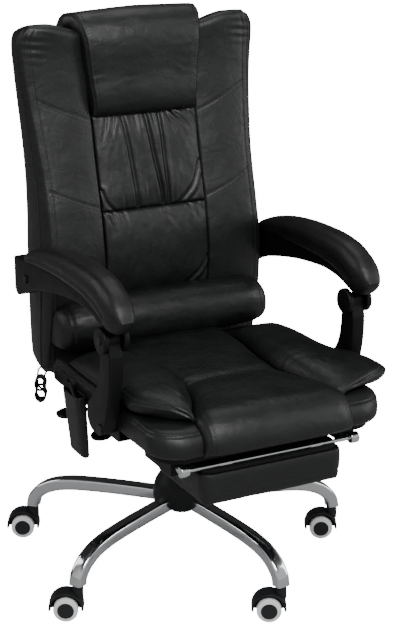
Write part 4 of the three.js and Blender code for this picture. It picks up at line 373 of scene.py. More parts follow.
# %% [markdown]
# A sewn seam shows as a narrow valley where the thread pulls the leather down, with the leather
# swelling on both sides. `pressed` moves the points of a surface in along its own normal by a bell
# curve of their distance from the seam. The stitches themselves are tiny thread capsules laid along
# the seam, all of one chair part in one mesh.

# %% Seams and stitches
def normals_of(grid):
    """Unit normals of a grid: cross product of its two directions."""
    across, up = np.gradient(grid, axis=1), np.gradient(grid, axis=0)
    n = np.cross(across, up)
    return n / np.maximum(np.linalg.norm(n, axis=-1, keepdims=True), 1e-9)


def distance_to(points, line):
    """Distance of each point from a polyline: the least distance over its straight stretches."""
    best = np.full(points.shape[:-1], 1e9)
    for a, b in zip(line[:-1], line[1:]):
        ab = b - a
        t = np.clip(((points - a) @ ab) / max(ab @ ab, 1e-9), 0, 1)
        best = np.minimum(best, np.linalg.norm(points - a - t[..., None] * ab, axis=-1))
    return best


def pressed(grid, outward, line, depth, width):
    """Moves a grid inwards near a line by depth * exp(-(d/width)^2)."""
    d = distance_to(grid, np.asarray(line, float))
    return grid - outward * (depth * np.exp(-(d / width) ** 2))[..., None]


STITCH_LENGTH = 5.0
STITCH_GAP = 1.8
THREAD_RADIUS = 0.55
stitched = {}


def stitch(body, grid, line):
    """Lays a row of stitches along a line, on the nearest place of a grid's surface."""
    rows, columns = grid.shape[:2]
    index = np.arange(rows * columns).reshape(rows, columns)
    quads = np.stack([index[:-1, :-1], index[:-1, 1:], index[1:, 1:], index[1:, :-1]], axis=-1).reshape(-1, 4)
    tree = BVHTree.FromPolygons(grid.reshape(-1, 3).tolist(), quads.tolist())
    line = np.asarray(line, float)
    walked = np.concatenate([[0], np.cumsum(np.linalg.norm(np.diff(line, axis=0), axis=1))])
    count = int(walked[-1] // (STITCH_LENGTH + STITCH_GAP))
    places = (np.arange(count) + 0.5) * (STITCH_LENGTH + STITCH_GAP)
    ends = []
    for shift in (-STITCH_LENGTH / 2, STITCH_LENGTH / 2):
        at = np.stack([np.interp(places + shift, walked, line[:, k]) for k in range(3)], axis=-1)
        ends.append([tuple(tree.find_nearest(p)[0]) for p in at.tolist()])
    if count:
        stitched.setdefault(body, []).append(np.array(ends).transpose(1, 0, 2))


def sew_stitches():
    """Builds one thread mesh for each body: a six-sided capsule for each pair of end points."""
    angles = np.linspace(0, 2 * np.pi, 6, endpoint=False)
    for body, rows in stitched.items():
        ends = np.concatenate(rows)
        a, b = ends[:, 0], ends[:, 1]
        ahead = (b - a) / np.linalg.norm(b - a, axis=1, keepdims=True)
        side = np.cross(ahead, (0.31, 0.82, 0.48))
        side /= np.linalg.norm(side, axis=1, keepdims=True)
        up = np.cross(ahead, side)
        rings = []
        for t, r in ((0.0, 0.35), (0.12, 1.0), (0.88, 1.0), (1.0, 0.35)):
            centre = a + (b - a) * t
            rings.append(centre[:, None] + THREAD_RADIUS * r * (
                np.cos(angles)[None, :, None] * side[:, None] + np.sin(angles)[None, :, None] * up[:, None]))
        rings = np.stack(rings, axis=1)
        count = len(ends)
        index = np.arange(count * 24).reshape(count, 4, 6)
        ahead_index = np.roll(index, -1, axis=2)
        quads = np.stack([index[:, :-1], ahead_index[:, :-1], ahead_index[:, 1:], index[:, 1:]], axis=-1)
        faces = quads.reshape(-1, 4).tolist() + index[:, 0, ::-1].tolist() + index[:, -1].tolist()
        mesh = bpy.data.meshes.new(f"stitches_{body}")
        mesh.from_pydata(in_metres(rings.reshape(-1, 3)).tolist(), [], faces)
        mesh.shade_smooth()
        mesh.materials.append(FINISH["thread"])
        piece = bpy.data.objects.new(f"stitches_{body}", mesh)
        bpy.context.scene.collection.objects.link(piece)
        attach(piece, body)
        print("stitches on", body, count)


# %% [markdown]
# The remote control hangs on a thin cord. It comes out of the seat's side, is wound into a short
# hank whose loops are drawn in by a tie, and arches over into the top of the handset. The route is
# the one that the solid model uses, so the cord lies where its solid is. The photograph shows it from
# end to end, so its length is what that route measures, just under a metre.

# %% Remote cord
CORD_DIAMETER = 4.0
HANK_TURNS = 5.5
HANK_CENTRE = np.array([-264.0, 104.0, 386.0])
HANK_TURN = np.radians(-27.7)
HANK_AXIS = np.array([-np.sin(HANK_TURN), np.cos(HANK_TURN), 0])
HANK_ACROSS = np.array([np.cos(HANK_TURN), np.sin(HANK_TURN), 0])
CORD_EXIT = [
    [-240.6, 74, 426], [-244.6, 74, 426], [-249.5, 77.5, 427], [-253, 86, 429.5], [-256.8, 98, 430.5],
    [-260.3, 109.5, 428], [-262.4, 117.3, 420.5], [-263.2, 120.3, 409], [-263.9, 119.4, 398], [-264.1, 118.6, 390.3],
    [-264.1, 118.6, 386.3],
]
CORD_LEAD = [
    [-263.9, 89.4, 386.3], [-263.9, 89.4, 390.3], [-265, 86.3, 399], [-266.8, 80, 412], [-267.3, 71, 426],
    [-266.8, 59, 438], [-265, 44, 447], [-262.5, 28, 451.5], [-259, 12, 453], [-255, -1, 450.5],
    [-252.8, -8.5, 446.5], [-252.3, -10.8, 442.3], [-252.3, -10.8, 438.3],
]


def hank_line(turn):
    """Loops of the hank: a tall ellipse, narrowed at its waist by exp(-(height/8)^2), moving along the axis."""
    angle = -2 * np.pi * turn
    high = 25 * np.sin(angle)
    pinch = 1 - 0.45 * np.exp(-((high / 8) ** 2))
    return (HANK_CENTRE + HANK_ACROSS * (12.5 * np.cos(angle) * pinch)[:, None]
            + HANK_AXIS * ((turn - HANK_TURNS / 2) * 4.7)[:, None] + np.array([0, 0, 1]) * high[:, None])


def tube_along(path, radius, sides):
    """Rings round a path: the side direction is carried forward by removing its part along the path."""
    ahead = np.gradient(path, axis=0)
    ahead /= np.linalg.norm(ahead, axis=1, keepdims=True)
    side = np.cross(ahead[0], (0.3, 0.5, 0.81))
    sides_out = []
    for step in ahead:
        side = side - step * (side @ step)
        side = side / np.linalg.norm(side)
        sides_out.append(side)
    side = np.array(sides_out)
    up = np.cross(ahead, side)
    t = np.linspace(0, 2 * np.pi, sides, endpoint=False)
    return path[:, None] + radius * (np.cos(t)[None, :, None] * side[:, None] + np.sin(t)[None, :, None] * up[:, None])


turns = np.linspace(0, HANK_TURNS, int(HANK_TURNS * 48) + 1)
cord_path = np.concatenate([smooth_path(CORD_EXIT, 90)[:-1], hank_line(turns), smooth_path(CORD_LEAD, 110)[1:]])
cord = skin("remote_cord", tube_along(cord_path, CORD_DIAMETER / 2, 12), "cord", "seat",
            ["remote_cord_exit", "remote_cord_hank", "remote_cord_lead"], sharp=0)
hank_mid = HANK_CENTRE + np.array([0, 0, 1.5])
tie_turn = np.linspace(0, 2 * np.pi, 40)
tie_path = (hank_mid + HANK_ACROSS * (10.2 * np.cos(tie_turn))[:, None] + HANK_AXIS * (15.6 * np.sin(tie_turn))[:, None])
tie = skin("cord_tie", np.stack([tie_path + (0, 0, h) + (tie_path - hank_mid) * s for h, s in (
    (-2.5, 0), (-2.5, 0.1), (2.5, 0.1), (2.5, 0), (-2.5, 0))], axis=1), "cord", "seat", sharp=40)

# %% [markdown]
# The back is one large upholstered shell: a rear half wrapped tight over plywood and a front half
# with a padded wing down either side and a sunk strip between them. Each of the functions below gives
# one edge line of it over the height share v, as in the solid model, so the cover lies on its solid.

# %% Lines of the back
BACK_BOTTOM, BACK_TOP = 406.0, 1104.0
BACK_HALF = 252.0
HALF_WIDTH_SHARES = [[0, .93], [.02, .955], [.1, .968], [.27, .968], [.36, .962], [.44, .952], [.55, .95],
                     [.65, .962], [.76, .985], [.87, 1.01], [.95, 1.02], [.98, .99], [1, .93]]
FRONT_SHARES = [[0, .44], [.1, .22], [.22, .05], [.34, 0], [.46, .16], [.58, .42], [.7, .65], [.8, .82], [.9, .91], [1, .92]]
REAR_SHARES = [[0, .42], [.2, .52], [.4, .68], [.6, .84], [.8, .98], [.92, 1.02], [1, .9]]
SIDE_SHARES = [[0, .5], [.15, .85], [.35, 1], [.6, .8], [.85, .45], [1, .3]]
MIDDLE_HALF = 114.0
RECESS = 12.0
WING_CROWN = 9.0


def back_share(z):
    return (z - BACK_BOTTOM) / (BACK_TOP - BACK_BOTTOM)


def back_front(z):
    return 98 + 86 * along(FRONT_SHARES, back_share(z))


def back_parting(z):
    return back_front(z) + 38 * along(SIDE_SHARES, back_share(z))


def back_rear(z):
    return 256 - 40 * (1 - along(REAR_SHARES, back_share(z)))


def back_half(v):
    return BACK_HALF * along(HALF_WIDTH_SHARES, v)


def back_place(u, v):
    """x and z of the back: u across from -1 to 1, v up from 0 to 1; the top edge dips between the wings."""
    wing = eased(np.abs(u), 0.5, 0.85)
    top = BACK_TOP - 4 - 18 * (1 - wing)
    bottom = BACK_BOTTOM + 1 - 8 * eased(np.abs(u), 0.8, 0.93)
    return u * back_half(v), bottom + (top - bottom) * v


def fullness(u, v, side, end):
    """0 on the border of a pad and 1 inside, rising over a share of each side like a quarter circle."""
    across = 1 - np.clip((1 - np.abs(u)) / side, 0, 1)
    up = 1 - np.clip(np.minimum(v, 1 - v) / end, 0, 1)
    return np.sqrt(np.maximum(1 - across**2, 0)) * np.sqrt(np.maximum(1 - up**2, 0))


# %% [markdown]
# The wings swell between the outer welt and the sunk strip, and two slanting double-sewn seams cross
# each. Near the top corners the hide lies in short level folds. The grid is finest at the rounded
# edges, and every seam is pressed in after the main form is there.

# %% Back cover
UPPER_SEAM = ((231, 957), (118, 906))
LOWER_SEAM = ((224, 782), (118, 737))
across = edge_dense(0.05, 11, 150)
rise = np.concatenate([0.02 * np.linspace(0, 1, 9) ** 2, np.linspace(0.02, 0.98, 230)[1:-1],
                       1 - 0.02 * np.linspace(1, 0, 9) ** 2])
U, V = np.meshgrid(across, rise)
X, Z = back_place(U, V)
away = (np.abs(X) - MIDDLE_HALF) / (BACK_HALF - MIDDLE_HALF)
sunk = 1 - eased(np.abs(X), MIDDLE_HALF - 1, MIDDLE_HALF + 4)
crown = WING_CROWN * 3.6 * np.clip(away, 0, 1) * (1 - np.clip(away, 0, 1))
forward = back_parting(Z) - back_front(Z) - RECESS * sunk + crown - WING_CROWN / 2
cover = np.stack([X, back_parting(Z) - np.maximum(forward * fullness(U, V, 0.05, 0.02), 0), Z], axis=-1)
facing = -normals_of(cover)
facing *= np.sign((facing * (0, -1, 0)).sum(-1, keepdims=True) + 1e-9)
inside = fullness(U, V, 0.16, 0.05)[..., None]
cover = cover + facing * inside * (1.3 * wobble(cover, 70, 3) + 0.5 * wobble(cover, 26, 4))[..., None]
corner = np.exp(-((Z - 1062) / 24) ** 2 - ((np.abs(X) - 226) / 22) ** 2)
cover = cover + facing * (0.9 * corner * np.sin(Z / 2.6 + 0.05 * X))[..., None]


def on_front(x, z):
    """Points on the front of the wings at given x and z."""
    x, z = np.broadcast_arrays(np.asarray(x, float), np.asarray(z, float))
    away = np.clip((np.abs(x) - MIDDLE_HALF) / (BACK_HALF - MIDDLE_HALF), 0, 1)
    y = back_front(z) - WING_CROWN * 3.6 * away * (1 - away) + WING_CROWN / 2
    return np.stack([x, y, z], axis=-1)


welt_v = np.linspace(0.015, 0.985, 160)
welt_z = BACK_BOTTOM + (BACK_TOP - BACK_BOTTOM) * welt_v
for side, sign in SIDES:
    for (x0, z0), (x1, z1) in (UPPER_SEAM, LOWER_SEAM):
        t = np.linspace(0, 1, 24)
        seam = on_front(sign * (x0 + (x1 - x0) * t), z0 + (z1 - z0) * t - 5 * t * (1 - t))
        cover = pressed(cover, facing, seam, 1.7, 1.5)
        for shift in (-5.5, 5.5):
            row = seam + (0, 0, shift)
            cover = pressed(cover, facing, row, 1.1, 1.2)
            stitch("back", cover, row)
    for share, depth in ((0.948, 1.8), (0.905, 1.0)):
        welt = on_front(sign * share * back_half(welt_v), welt_z)
        cover = pressed(cover, facing, welt, depth, 2.3)
        stitch("back", cover, welt + (sign * 2.2, 0, 0))
tight = np.minimum(1, ((1 - np.abs(U)) / 0.055) ** 0.38) * np.clip(np.minimum(V, 1 - V) / 0.03, 0, 1) ** 0.5
rear_face = np.stack([X, back_parting(Z) + (back_rear(Z) - back_parting(Z)) * tight, Z], axis=-1)
rear_face[:, 0], rear_face[:, -1] = cover[:, 0], cover[:, -1]
cover[0, :, 1], cover[-1, :, 1] = back_parting(Z[0]), back_parting(Z[-1])
rear_face[0], rear_face[-1] = cover[0], cover[-1]
rear_face = rear_face + (0, 1, 0) * (fullness(U, V, 0.3, 0.2) * 1.6 * wobble(rear_face, 90, 6))[..., None]
back_cover = skin("back_cover", round_a_pad(cover, rear_face), "leather", "back", ["back_cushion", "back_shell"],
                  sharp=0)
print("back cover faces", len(back_cover.data.polygons))

# %% [markdown]
# Round the side of the back runs a second welt, where the front cushion's side band meets the rear
# wrap. A welt is a cord sewn into a folded strip, so it is made as a thin tube that follows the
# parting line and sinks half its thickness into the cover.

# %% Side welts
for side, sign in SIDES:
    v = np.linspace(0.01, 0.99, 140)
    x, z = back_place(np.full_like(v, 1.0), v)
    line = np.stack([sign * x, back_parting(z), z], axis=-1)
    skin(f"back_welt_{side}", tube_along(line, 1.9, 10), "leather", "back", sharp=0)

# %% [markdown]
# The gathered panel was cut wider than its place and drawn in by threads at its top and bottom, so
# it falls in soft folds that start at the seams and die out or wander across. Each fold is a curved
# line on the panel, and the hide sinks along it and swells a little on both of its sides.

# %% Gathered panel
FOLDS = [
    # depth, half-width, then places as (x share, height share)
    (4.6, 4.6, (-.45, .98), (-.39, .65), (-.35, .3), (-.32, .02)), (5.2, 4.4, (0, .99), (.05, .65), (.12, .3), (.18, .02)),
    (4.8, 4.0, (.26, .98), (.265, .64), (.27, .3), (.28, .02)), (3.4, 4.0, (.5, .99), (.7, .88), (.9, .74)),
    (2.6, 3.6, (.42, .97), (.52, .82), (.6, .7)), (2.6, 4.6, (.96, .42), (.8, .2), (.5, .01)),
    (1.8, 4.0, (.99, .27), (.88, .12), (.68, .01)), (3.0, 3.6, (-.98, .22), (-.92, .1), (-.8, .01)),
    (2.8, 3.4, (-.74, .99), (-.8, .85), (-.92, .66)), (2.4, 3.2, (-.6, .98), (-.66, .84), (-.7, .72)),
    (2.2, 3.2, (-.56, .01), (-.57, .14), (-.6, .28)), (2.4, 3.2, (-.1, .01), (-.1, .16), (-.13, .34)),
    (2.0, 3.0, (.4, .01), (.38, .14), (.37, .26)), (2.2, 3.2, (-.2, .99), (-.2, .84), (-.17, .66)),
    (1.8, 3.0, (.13, .98), (.15, .86), (.16, .72)), (1.8, 3.0, (.82, .98), (.92, .9), (.98, .84)),
]


def nearest_on(points, line):
    """Distance of each point from a polyline, and how far along it the nearest place lies, 0 to 1."""
    best, along_it = np.full(points.shape[:-1], 1e9), np.zeros(points.shape[:-1])
    for k, (a, b) in enumerate(zip(line[:-1], line[1:])):
        t = np.clip(((points - a) @ (b - a)) / ((b - a) @ (b - a)), 0, 1)
        d = np.linalg.norm(points - a - t[..., None] * (b - a), axis=-1)
        along_it = np.where(d < best, (k + t) / (len(line) - 1), along_it)
        best = np.minimum(best, d)
    return best, along_it


def fold_depth(x_share, height_share, half, high, folds):
    """Sum of folds: depth * (exp(-(d/w)^2) - 0.25 exp(-((d - 2w)/w)^2)), d being the distance from the line.

    A fold whose last place lies inside the panel fades out towards it.
    """
    places = np.stack([x_share * half, height_share * high], axis=-1)
    total = 0
    for depth, width, *points in folds:
        d, share = nearest_on(places, smooth_path([[u * half, v * high] for u, v in points], 14))
        u, v = points[-1]
        fade = 1 - eased(share, 0.1, 1.0) if abs(u) < 0.97 and 0.05 < v < 0.95 else 1.0
        total = total + depth * fade * (np.exp(-(d / width) ** 2) - 0.25 * np.exp(-((d - 2 * width) / width) ** 2))
    return total


EDGE_RISE, FLUSH_RISE = 4.5, 9.0


def middle_panel(bottom, top, half, thickness, columns, rows, folds):
    """Front and rear grids of a pad on the sunk strip, with its folds pressed in."""
    u = edge_dense(0.1, 12, columns)
    v = np.concatenate([0.1 * np.linspace(0, 1, 12) ** 2, np.linspace(0.1, 0.9, rows)[1:-1],
                        1 - 0.1 * np.linspace(1, 0, 12) ** 2])
    U, V = np.meshgrid(u, v)
    X, Z = U * half, bottom + (top - bottom) * V
    level = back_front(Z) + RECESS
    full = fullness(U, V, 0.045, 0.035)
    crown = (1 - U**4) * (1 - (2 * V - 1) ** 4)
    rise = EDGE_RISE + (FLUSH_RISE - EDGE_RISE) * full + (thickness - FLUSH_RISE) * crown
    folded = fold_depth(U, V, half, top - bottom, folds) * np.minimum(1, 1.2 * full)
    front = np.stack([X, level - rise + folded, Z], axis=-1)
    rear = np.stack([X, level + np.where(full > 0, 2.0, 0), Z], axis=-1)
    rear[0], rear[-1], rear[:, 0], rear[:, -1] = front[0], front[-1], front[:, 0], front[:, -1]
    return front, rear


def sewn_down(front, rear, seed):
    """The front with small creases added; the rear grid then takes its border again."""
    front = front - (0, 1, 0) * (0.55 * wobble(front * (1, 1, 0.45), 10, seed) + 0.9 * wobble(front, 42, seed + 1))[..., None]
    rear[0], rear[-1], rear[:, 0], rear[:, -1] = front[0], front[-1], front[:, 0], front[:, -1]
    return round_a_pad(front, rear)


gathered, gathered_rear = middle_panel(729.5, 915, 114.5, 18.5, 180, 140, FOLDS)
skin("gathered_panel", sewn_down(gathered, gathered_rear, 8), "leather", "back", ["back_gathered_pad"], sharp=0)

# %% Lower panel
LOWER_FOLDS = [
    (2.8, 5.0, (.98, .34), (.84, .2), (.55, .02)), (2.0, 4.4, (.99, .22), (.9, .1), (.72, .01)),
    (2.0, 5.0, (.2, .95), (.36, .8), (.5, .62)), (2.4, 3.6, (-.94, .99), (-.88, .86), (-.86, .7)),
    (2.0, 3.4, (-.8, .99), (-.78, .88), (-.76, .78)), (1.8, 3.2, (-.62, .99), (-.58, .9), (-.56, .82)),
    (2.2, 3.6, (.66, .99), (.76, .88), (.84, .76)), (1.6, 3.2, (.86, .98), (.92, .9), (.96, .82)),
    (1.6, 3.4, (-.98, .2), (-.9, .1), (-.78, .01)),
]
lower, lower_rear = middle_panel(556, 728.5, 114.5, 18, 150, 120, LOWER_FOLDS)
skin("lower_panel", sewn_down(lower, lower_rear, 15), "leather", "back", ["back_lower_pad"], sharp=0)

# %% [markdown]
# The headrest is a long pillow that starts on the front of the back, swells, runs over the top edge
# and ends a little way down behind. It is a pad whose grid follows a path in side view. Its side
# faces are set on with a seam that is sewn twice.

# %% Headrest pillow
PILLOW_BOTTOM = 911.0
BACK_EDGE = BACK_TOP - 20


def pillow_front(z):
    return back_front(z) + RECESS + WING_CROWN / 2


shoulder = BACK_EDGE - 22
half_way = PILLOW_BOTTOM + (shoulder - PILLOW_BOTTOM) / 2
pillow_side = [
    [pillow_front(PILLOW_BOTTOM), PILLOW_BOTTOM], [pillow_front(half_way), half_way],
    [pillow_front(shoulder), shoulder], [pillow_front(shoulder) + 13.2, BACK_EDGE - 0.3],
    [(pillow_front(shoulder) + back_rear(BACK_EDGE)) / 2, BACK_EDGE + 2], [back_rear(BACK_EDGE) - 15.4, BACK_EDGE - 0.3],
    [back_rear(BACK_EDGE), shoulder], [back_rear(1036.0), 1036.0],
]
rows = np.concatenate([0.1 * np.linspace(0, 1, 12) ** 2, np.linspace(0.1, 0.9, 110)[1:-1], 1 - 0.1 * np.linspace(1, 0, 12) ** 2])
path = smooth_path(pillow_side, 801)[np.round(rows * 800).astype(int)]
ahead = np.gradient(path, axis=0)
ahead /= np.linalg.norm(ahead, axis=1, keepdims=True)
u = edge_dense(0.08, 12, 90)
U, V = np.meshgrid(u, rows)
half = 113 + (147 - 113) * np.minimum(1, V / 0.55)
over_top = 1 - 0.27 * eased(V, 0.35, 0.6)
depth = 42 * (0.36 + 0.64 * fullness(U, V, 0.09, 0.1)) * (0.84 + 0.16 * (1 - U**2)) * over_top


def pillow_face(depth):
    """The path's place, moved out along its side-view normal by a depth."""
    y = path[:, 0][:, None] - ahead[:, 1][:, None] * depth
    z = path[:, 1][:, None] + ahead[:, 0][:, None] * depth
    return np.stack([U * half, y, z], axis=-1)


pillow = pillow_face(depth)
under = pillow_face(np.full_like(depth, -3.0))
under[0], under[-1], under[:, 0], under[:, -1] = pillow[0], pillow[-1], pillow[:, 0], pillow[:, -1]
facing = normals_of(pillow)
facing *= np.sign((facing * (pillow - under)).sum(-1, keepdims=True) + 1e-9)
soft = fullness(U, V, 0.1, 0.05)[..., None]
pillow = pillow + facing * soft * (1.1 * wobble(pillow, 55, 11) + 0.45 * wobble(pillow * (0.35, 1, 1), 8, 12))[..., None]
for sign in (-1, 1):
    for share, dent in ((0.962, 1.6), (0.9, 1.0)):
        column = np.argmin(np.abs(u - sign * share))
        seam = pillow[4:-4, column]
        pillow = pressed(pillow, facing, seam, dent, 2.0)
        stitch("back", pillow, seam + (-sign * 3.0, 0, 0))
under[0], under[-1], under[:, 0], under[:, -1] = pillow[0], pillow[-1], pillow[:, 0], pillow[:, -1]
skin("headrest_cover", round_a_pad(pillow, under), "leather", "back", ["headrest_pillow"], sharp=0)

# %% [markdown]
# The lumbar roll is a half-round bolster sewn across the foot of the back. Its ends are small separate
# cheeks, so a curved seam runs round it a little way in from either end, and the hide is drawn into
# faint lengthwise creases there.

# %% Lumbar roll
ROLL_ENDS = [[0, 1], [.45, .985], [.78, .93], [.9, .86], [.96, .74], [.99, .6], [1, .48]]
share = np.concatenate([-1 + 0.12 * np.linspace(0, 1, 16) ** 2, np.linspace(-0.88, 0.88, 120)[1:-1],
                        1 - 0.12 * np.linspace(1, 0, 16) ** 2])
scale = along(ROLL_ENDS, np.abs(share))
around = squared(1, 1, 84, 2.3)
roll = np.stack([
    np.broadcast_to((233 * share)[:, None], (len(share), 84)),
    102 + 66 * scale[:, None] * around[None, :, 0],
    512 - 20 * (1 - scale[:, None]) + 54 * scale[:, None] * around[None, :, 1]], axis=-1)
radial = np.concatenate([np.zeros((84, 1)), around], axis=1)[None]
roll = roll + radial * (0.9 * wobble(roll, 60, 21) + 0.4 * wobble(roll * (0.3, 1, 1), 9, 22))[..., None]
crease = np.exp(-((np.abs(share) - 0.88) / 0.06) ** 2)[:, None]
roll = roll + radial * (0.35 * crease * np.sin(np.arange(84) * 1.9)[None])[..., None]
for sign in (-1, 1):
    ring = roll[np.argmin(np.abs(share - sign * 0.905))]
    ring = np.vstack([ring, ring[:1]])
    roll = pressed(roll, np.broadcast_to(radial, roll.shape), ring, 2.2, 2.4)
    stitch("back", roll, ring - (sign * 4.5, 0, 0))
roll = np.where((roll[..., 1:2] > 150), roll * (1, 0, 1) + (0, 150, 0), roll)
skin("lumbar_cover", roll, "leather", "back", ["lumbar_roll"], sharp=0)

# %% [markdown]
# The seat has a firm box below and three pads sewn on it: a centre pad that rolls over the front
# edge, and a bolster on either side. The box is drawn as level outlines from bottom to top, each drawn
# in by a rounding that is large along the front edge and small at the sides.

# %% Seat box
SEAT_HALF, SEAT_FRONT, SEAT_REAR = 240.0, -398.0, 98.0
SEAT_BOTTOM, SEAT_TOP = 400.0, 452.0
CORNER = 62.0


def plan_outline(count):
    """Outline of the seat from above with round front corners, and its outward directions."""
    t = np.linspace(0, np.pi / 2, 22)
    right = np.stack([SEAT_HALF - CORNER + CORNER * np.sin(t), SEAT_FRONT + CORNER - CORNER * np.cos(t)], axis=-1)
    rear = np.stack([SEAT_HALF - 16 + 16 * np.cos(t), SEAT_REAR - 16 + 16 * np.sin(t)], axis=-1)
    side = np.linspace(right[-1], rear[0], 40)[1:-1]
    half = np.concatenate([np.linspace([0, SEAT_FRONT], right[0], 30)[:-1], right, side, rear,
                           np.linspace(rear[-1], [0, SEAT_REAR], 30)[1:]])
    whole = np.concatenate([half, (half * (-1, 1))[-2:0:-1]])
    walked = np.concatenate([[0], np.cumsum(np.linalg.norm(np.diff(np.vstack([whole, whole[:1]]), axis=0), axis=1))])
    s = np.linspace(0, walked[-1], count, endpoint=False)
    closed = np.vstack([whole, whole[:1]])
    out = np.stack([np.interp(s, walked, closed[:, k]) for k in (0, 1)], axis=-1)
    step = np.roll(out, -1, axis=0) - np.roll(out, 1, axis=0)
    normal = np.stack([step[:, 1], -step[:, 0]], axis=-1)
    return out, normal / np.linalg.norm(normal, axis=1, keepdims=True)


outline, out_dir = plan_outline(420)
frontness = np.clip(-out_dir[:, 1], 0, 1) ** 2
levels = np.concatenate([np.linspace(0, 1, 9) ** 2 * 8, np.linspace(8, 16, 5)[1:], np.linspace(16, 52, 34)[1:]])
levels = np.unique(np.concatenate([levels, 52 - np.linspace(0, 1, 9) ** 2 * 6]))
low_round = np.where(levels < 12, 12 - np.sqrt(np.maximum(144 - (12 - levels) ** 2, 0)), 0)


def top_round(radius):
    near = np.clip(levels - (52 - radius), 0, radius)
    return radius - np.sqrt(np.maximum(radius**2 - near**2, 0))


inset = low_round[:, None] + top_round(14.0)[:, None] * (1 - frontness) + top_round(36.0)[:, None] * frontness
swell = 2.2 * np.sin(np.pi * np.clip(levels / 46, 0, 1))[:, None] * (1 - frontness)
box_side = np.stack([outline[:, 0] - out_dir[:, 0] * (inset - swell), outline[:, 1] - out_dir[:, 1] * (inset - swell),
                     np.broadcast_to((SEAT_BOTTOM + levels)[:, None], inset.shape)], axis=-1)
out3 = np.broadcast_to(np.concatenate([out_dir, np.zeros((420, 1))], axis=1)[None], box_side.shape)
box_side = box_side + out3 * (0.8 * wobble(box_side, 45, 31))[..., None]
seam_row = box_side[np.argmin(np.abs(levels - 43))]
seam_loop = np.vstack([seam_row, seam_row[:1]])
box_side = pressed(box_side, out3, seam_loop, 1.8, 2.2)
for shift in (-4.5, 4.0):
    stitch("seat", box_side, seam_loop + (0, 0, shift))
skin("seat_box_cover", box_side, "leather", "seat", ["seat_box_cushion"], sharp=0)

# %% [markdown]
# The centre pad narrows between the bolsters and widens again over the front edge. It follows the
# box: level, round the nose, then straight down. One deep seam crosses it, and the hide is pulled
# into short folds at the seam's ends, where it meets the bolsters.

# %% Centre pad
PAD_SEAM_X = 155.0
PAD_SEAM_SHARES = [[0, .8], [.2, .78], [.42, .7], [.62, .69], [.8, .79], [.92, .94], [1, 1]]
NOSE = 36.0
FLAT = 88 - SEAT_FRONT - NOSE
BEND = NOSE * np.pi / 2
TAIL = SEAT_TOP - NOSE - 402
TOTAL = FLAT + BEND + TAIL
CROSS_SEAM_SHARE = 0.67


def pad_seam_x(y):
    """Half-width of the centre pad at a place y."""
    return PAD_SEAM_X * along(PAD_SEAM_SHARES, (36 - y) / (36 + 368))


def seat_path(s):
    """y, z and normal at a length s from the pad's rear end: flat, then a quarter circle, then down."""
    a = np.clip((s - FLAT) / NOSE, 0, np.pi / 2)
    ny, nz = -np.sin(a), np.cos(a)
    y = np.where(s <= FLAT, 88 - s, SEAT_FRONT + NOSE + ny * NOSE)
    z = SEAT_TOP + (nz - 1) * NOSE - np.maximum(s - FLAT - BEND, 0)
    return y, z, ny, nz


s = np.concatenate([0.06 * FLAT * np.linspace(0, 1, 8) ** 2, np.linspace(0.06 * FLAT, TOTAL - 10, 190)[1:-1],
                    TOTAL - 10 * np.linspace(1, 0, 8) ** 2])
u = edge_dense(0.12, 12, 100)
U, S = np.meshgrid(u, s)
y, z, ny, nz = seat_path(S)
half = pad_seam_x(np.maximum(y, SEAT_FRONT)) - 0.3
cross_seam = CROSS_SEAM_SHARE * FLAT + 3 * U**2
edge = (1 - np.abs(U) ** 9) ** 0.5
ends = np.minimum(1, np.minimum((S / (0.06 * FLAT)) ** 0.5, (np.maximum(TOTAL - S, 0) / 12) ** 0.5))
dip = np.exp(-((S - cross_seam) / np.where(S < cross_seam, 16.0, 3.0)) ** 2)
roll_forward = 4.0 * eased(S, CROSS_SEAM_SHARE * FLAT, 0.8 * FLAT)
thick = (25 * (0.84 + 0.16 * (1 - U**2)) + roll_forward - 5 * dip) * edge * ends
pull = np.exp(-((S - cross_seam) / 34) ** 2 - ((np.abs(U) - 1) / 0.22) ** 2)
thick = thick - 2.2 * pull * (0.5 + 0.5 * np.sin((S - cross_seam) / 3.4)) * edge * ends
height = 2.0 + thick
pad = np.stack([U * half, y + ny * height, z + nz * height], axis=-1)
base = np.stack([U * half, y + ny * 0.3, z + nz * 0.3], axis=-1)
facing = np.stack([np.zeros_like(ny), ny, nz], axis=-1)
pad = pad + facing * (edge * ends * (1.0 * wobble(pad, 60, 41) + 0.35 * wobble(pad * (0.4, 1, 1), 9, 42)))[..., None]
for sign in (-1, 1):
    for share in (0.955, 0.9):
        column = np.argmin(np.abs(u - sign * share))
        line = pad[4:-2, column]
        pad = pressed(pad, facing, line, 0.9, 1.8)
        stitch("seat", pad, line)
row = np.argmin(np.abs(s - CROSS_SEAM_SHARE * FLAT))
stitch("seat", pad, pad[row + 5, 6:-6])
base[0], base[-1], base[:, 0], base[:, -1] = pad[0], pad[-1], pad[:, 0], pad[:, -1]
skin("seat_centre_cover", round_a_pad(pad, base), "leather", "seat", ["seat_centre_pad"], sharp=0)

# %% [markdown]
# Each bolster is a long lens: its inner edge is sewn to the centre pad and its outer edge hangs a
# little over the box in front of the arm's post. A double seam runs round its outer side, and below it
# the facing turns back in under the pad.

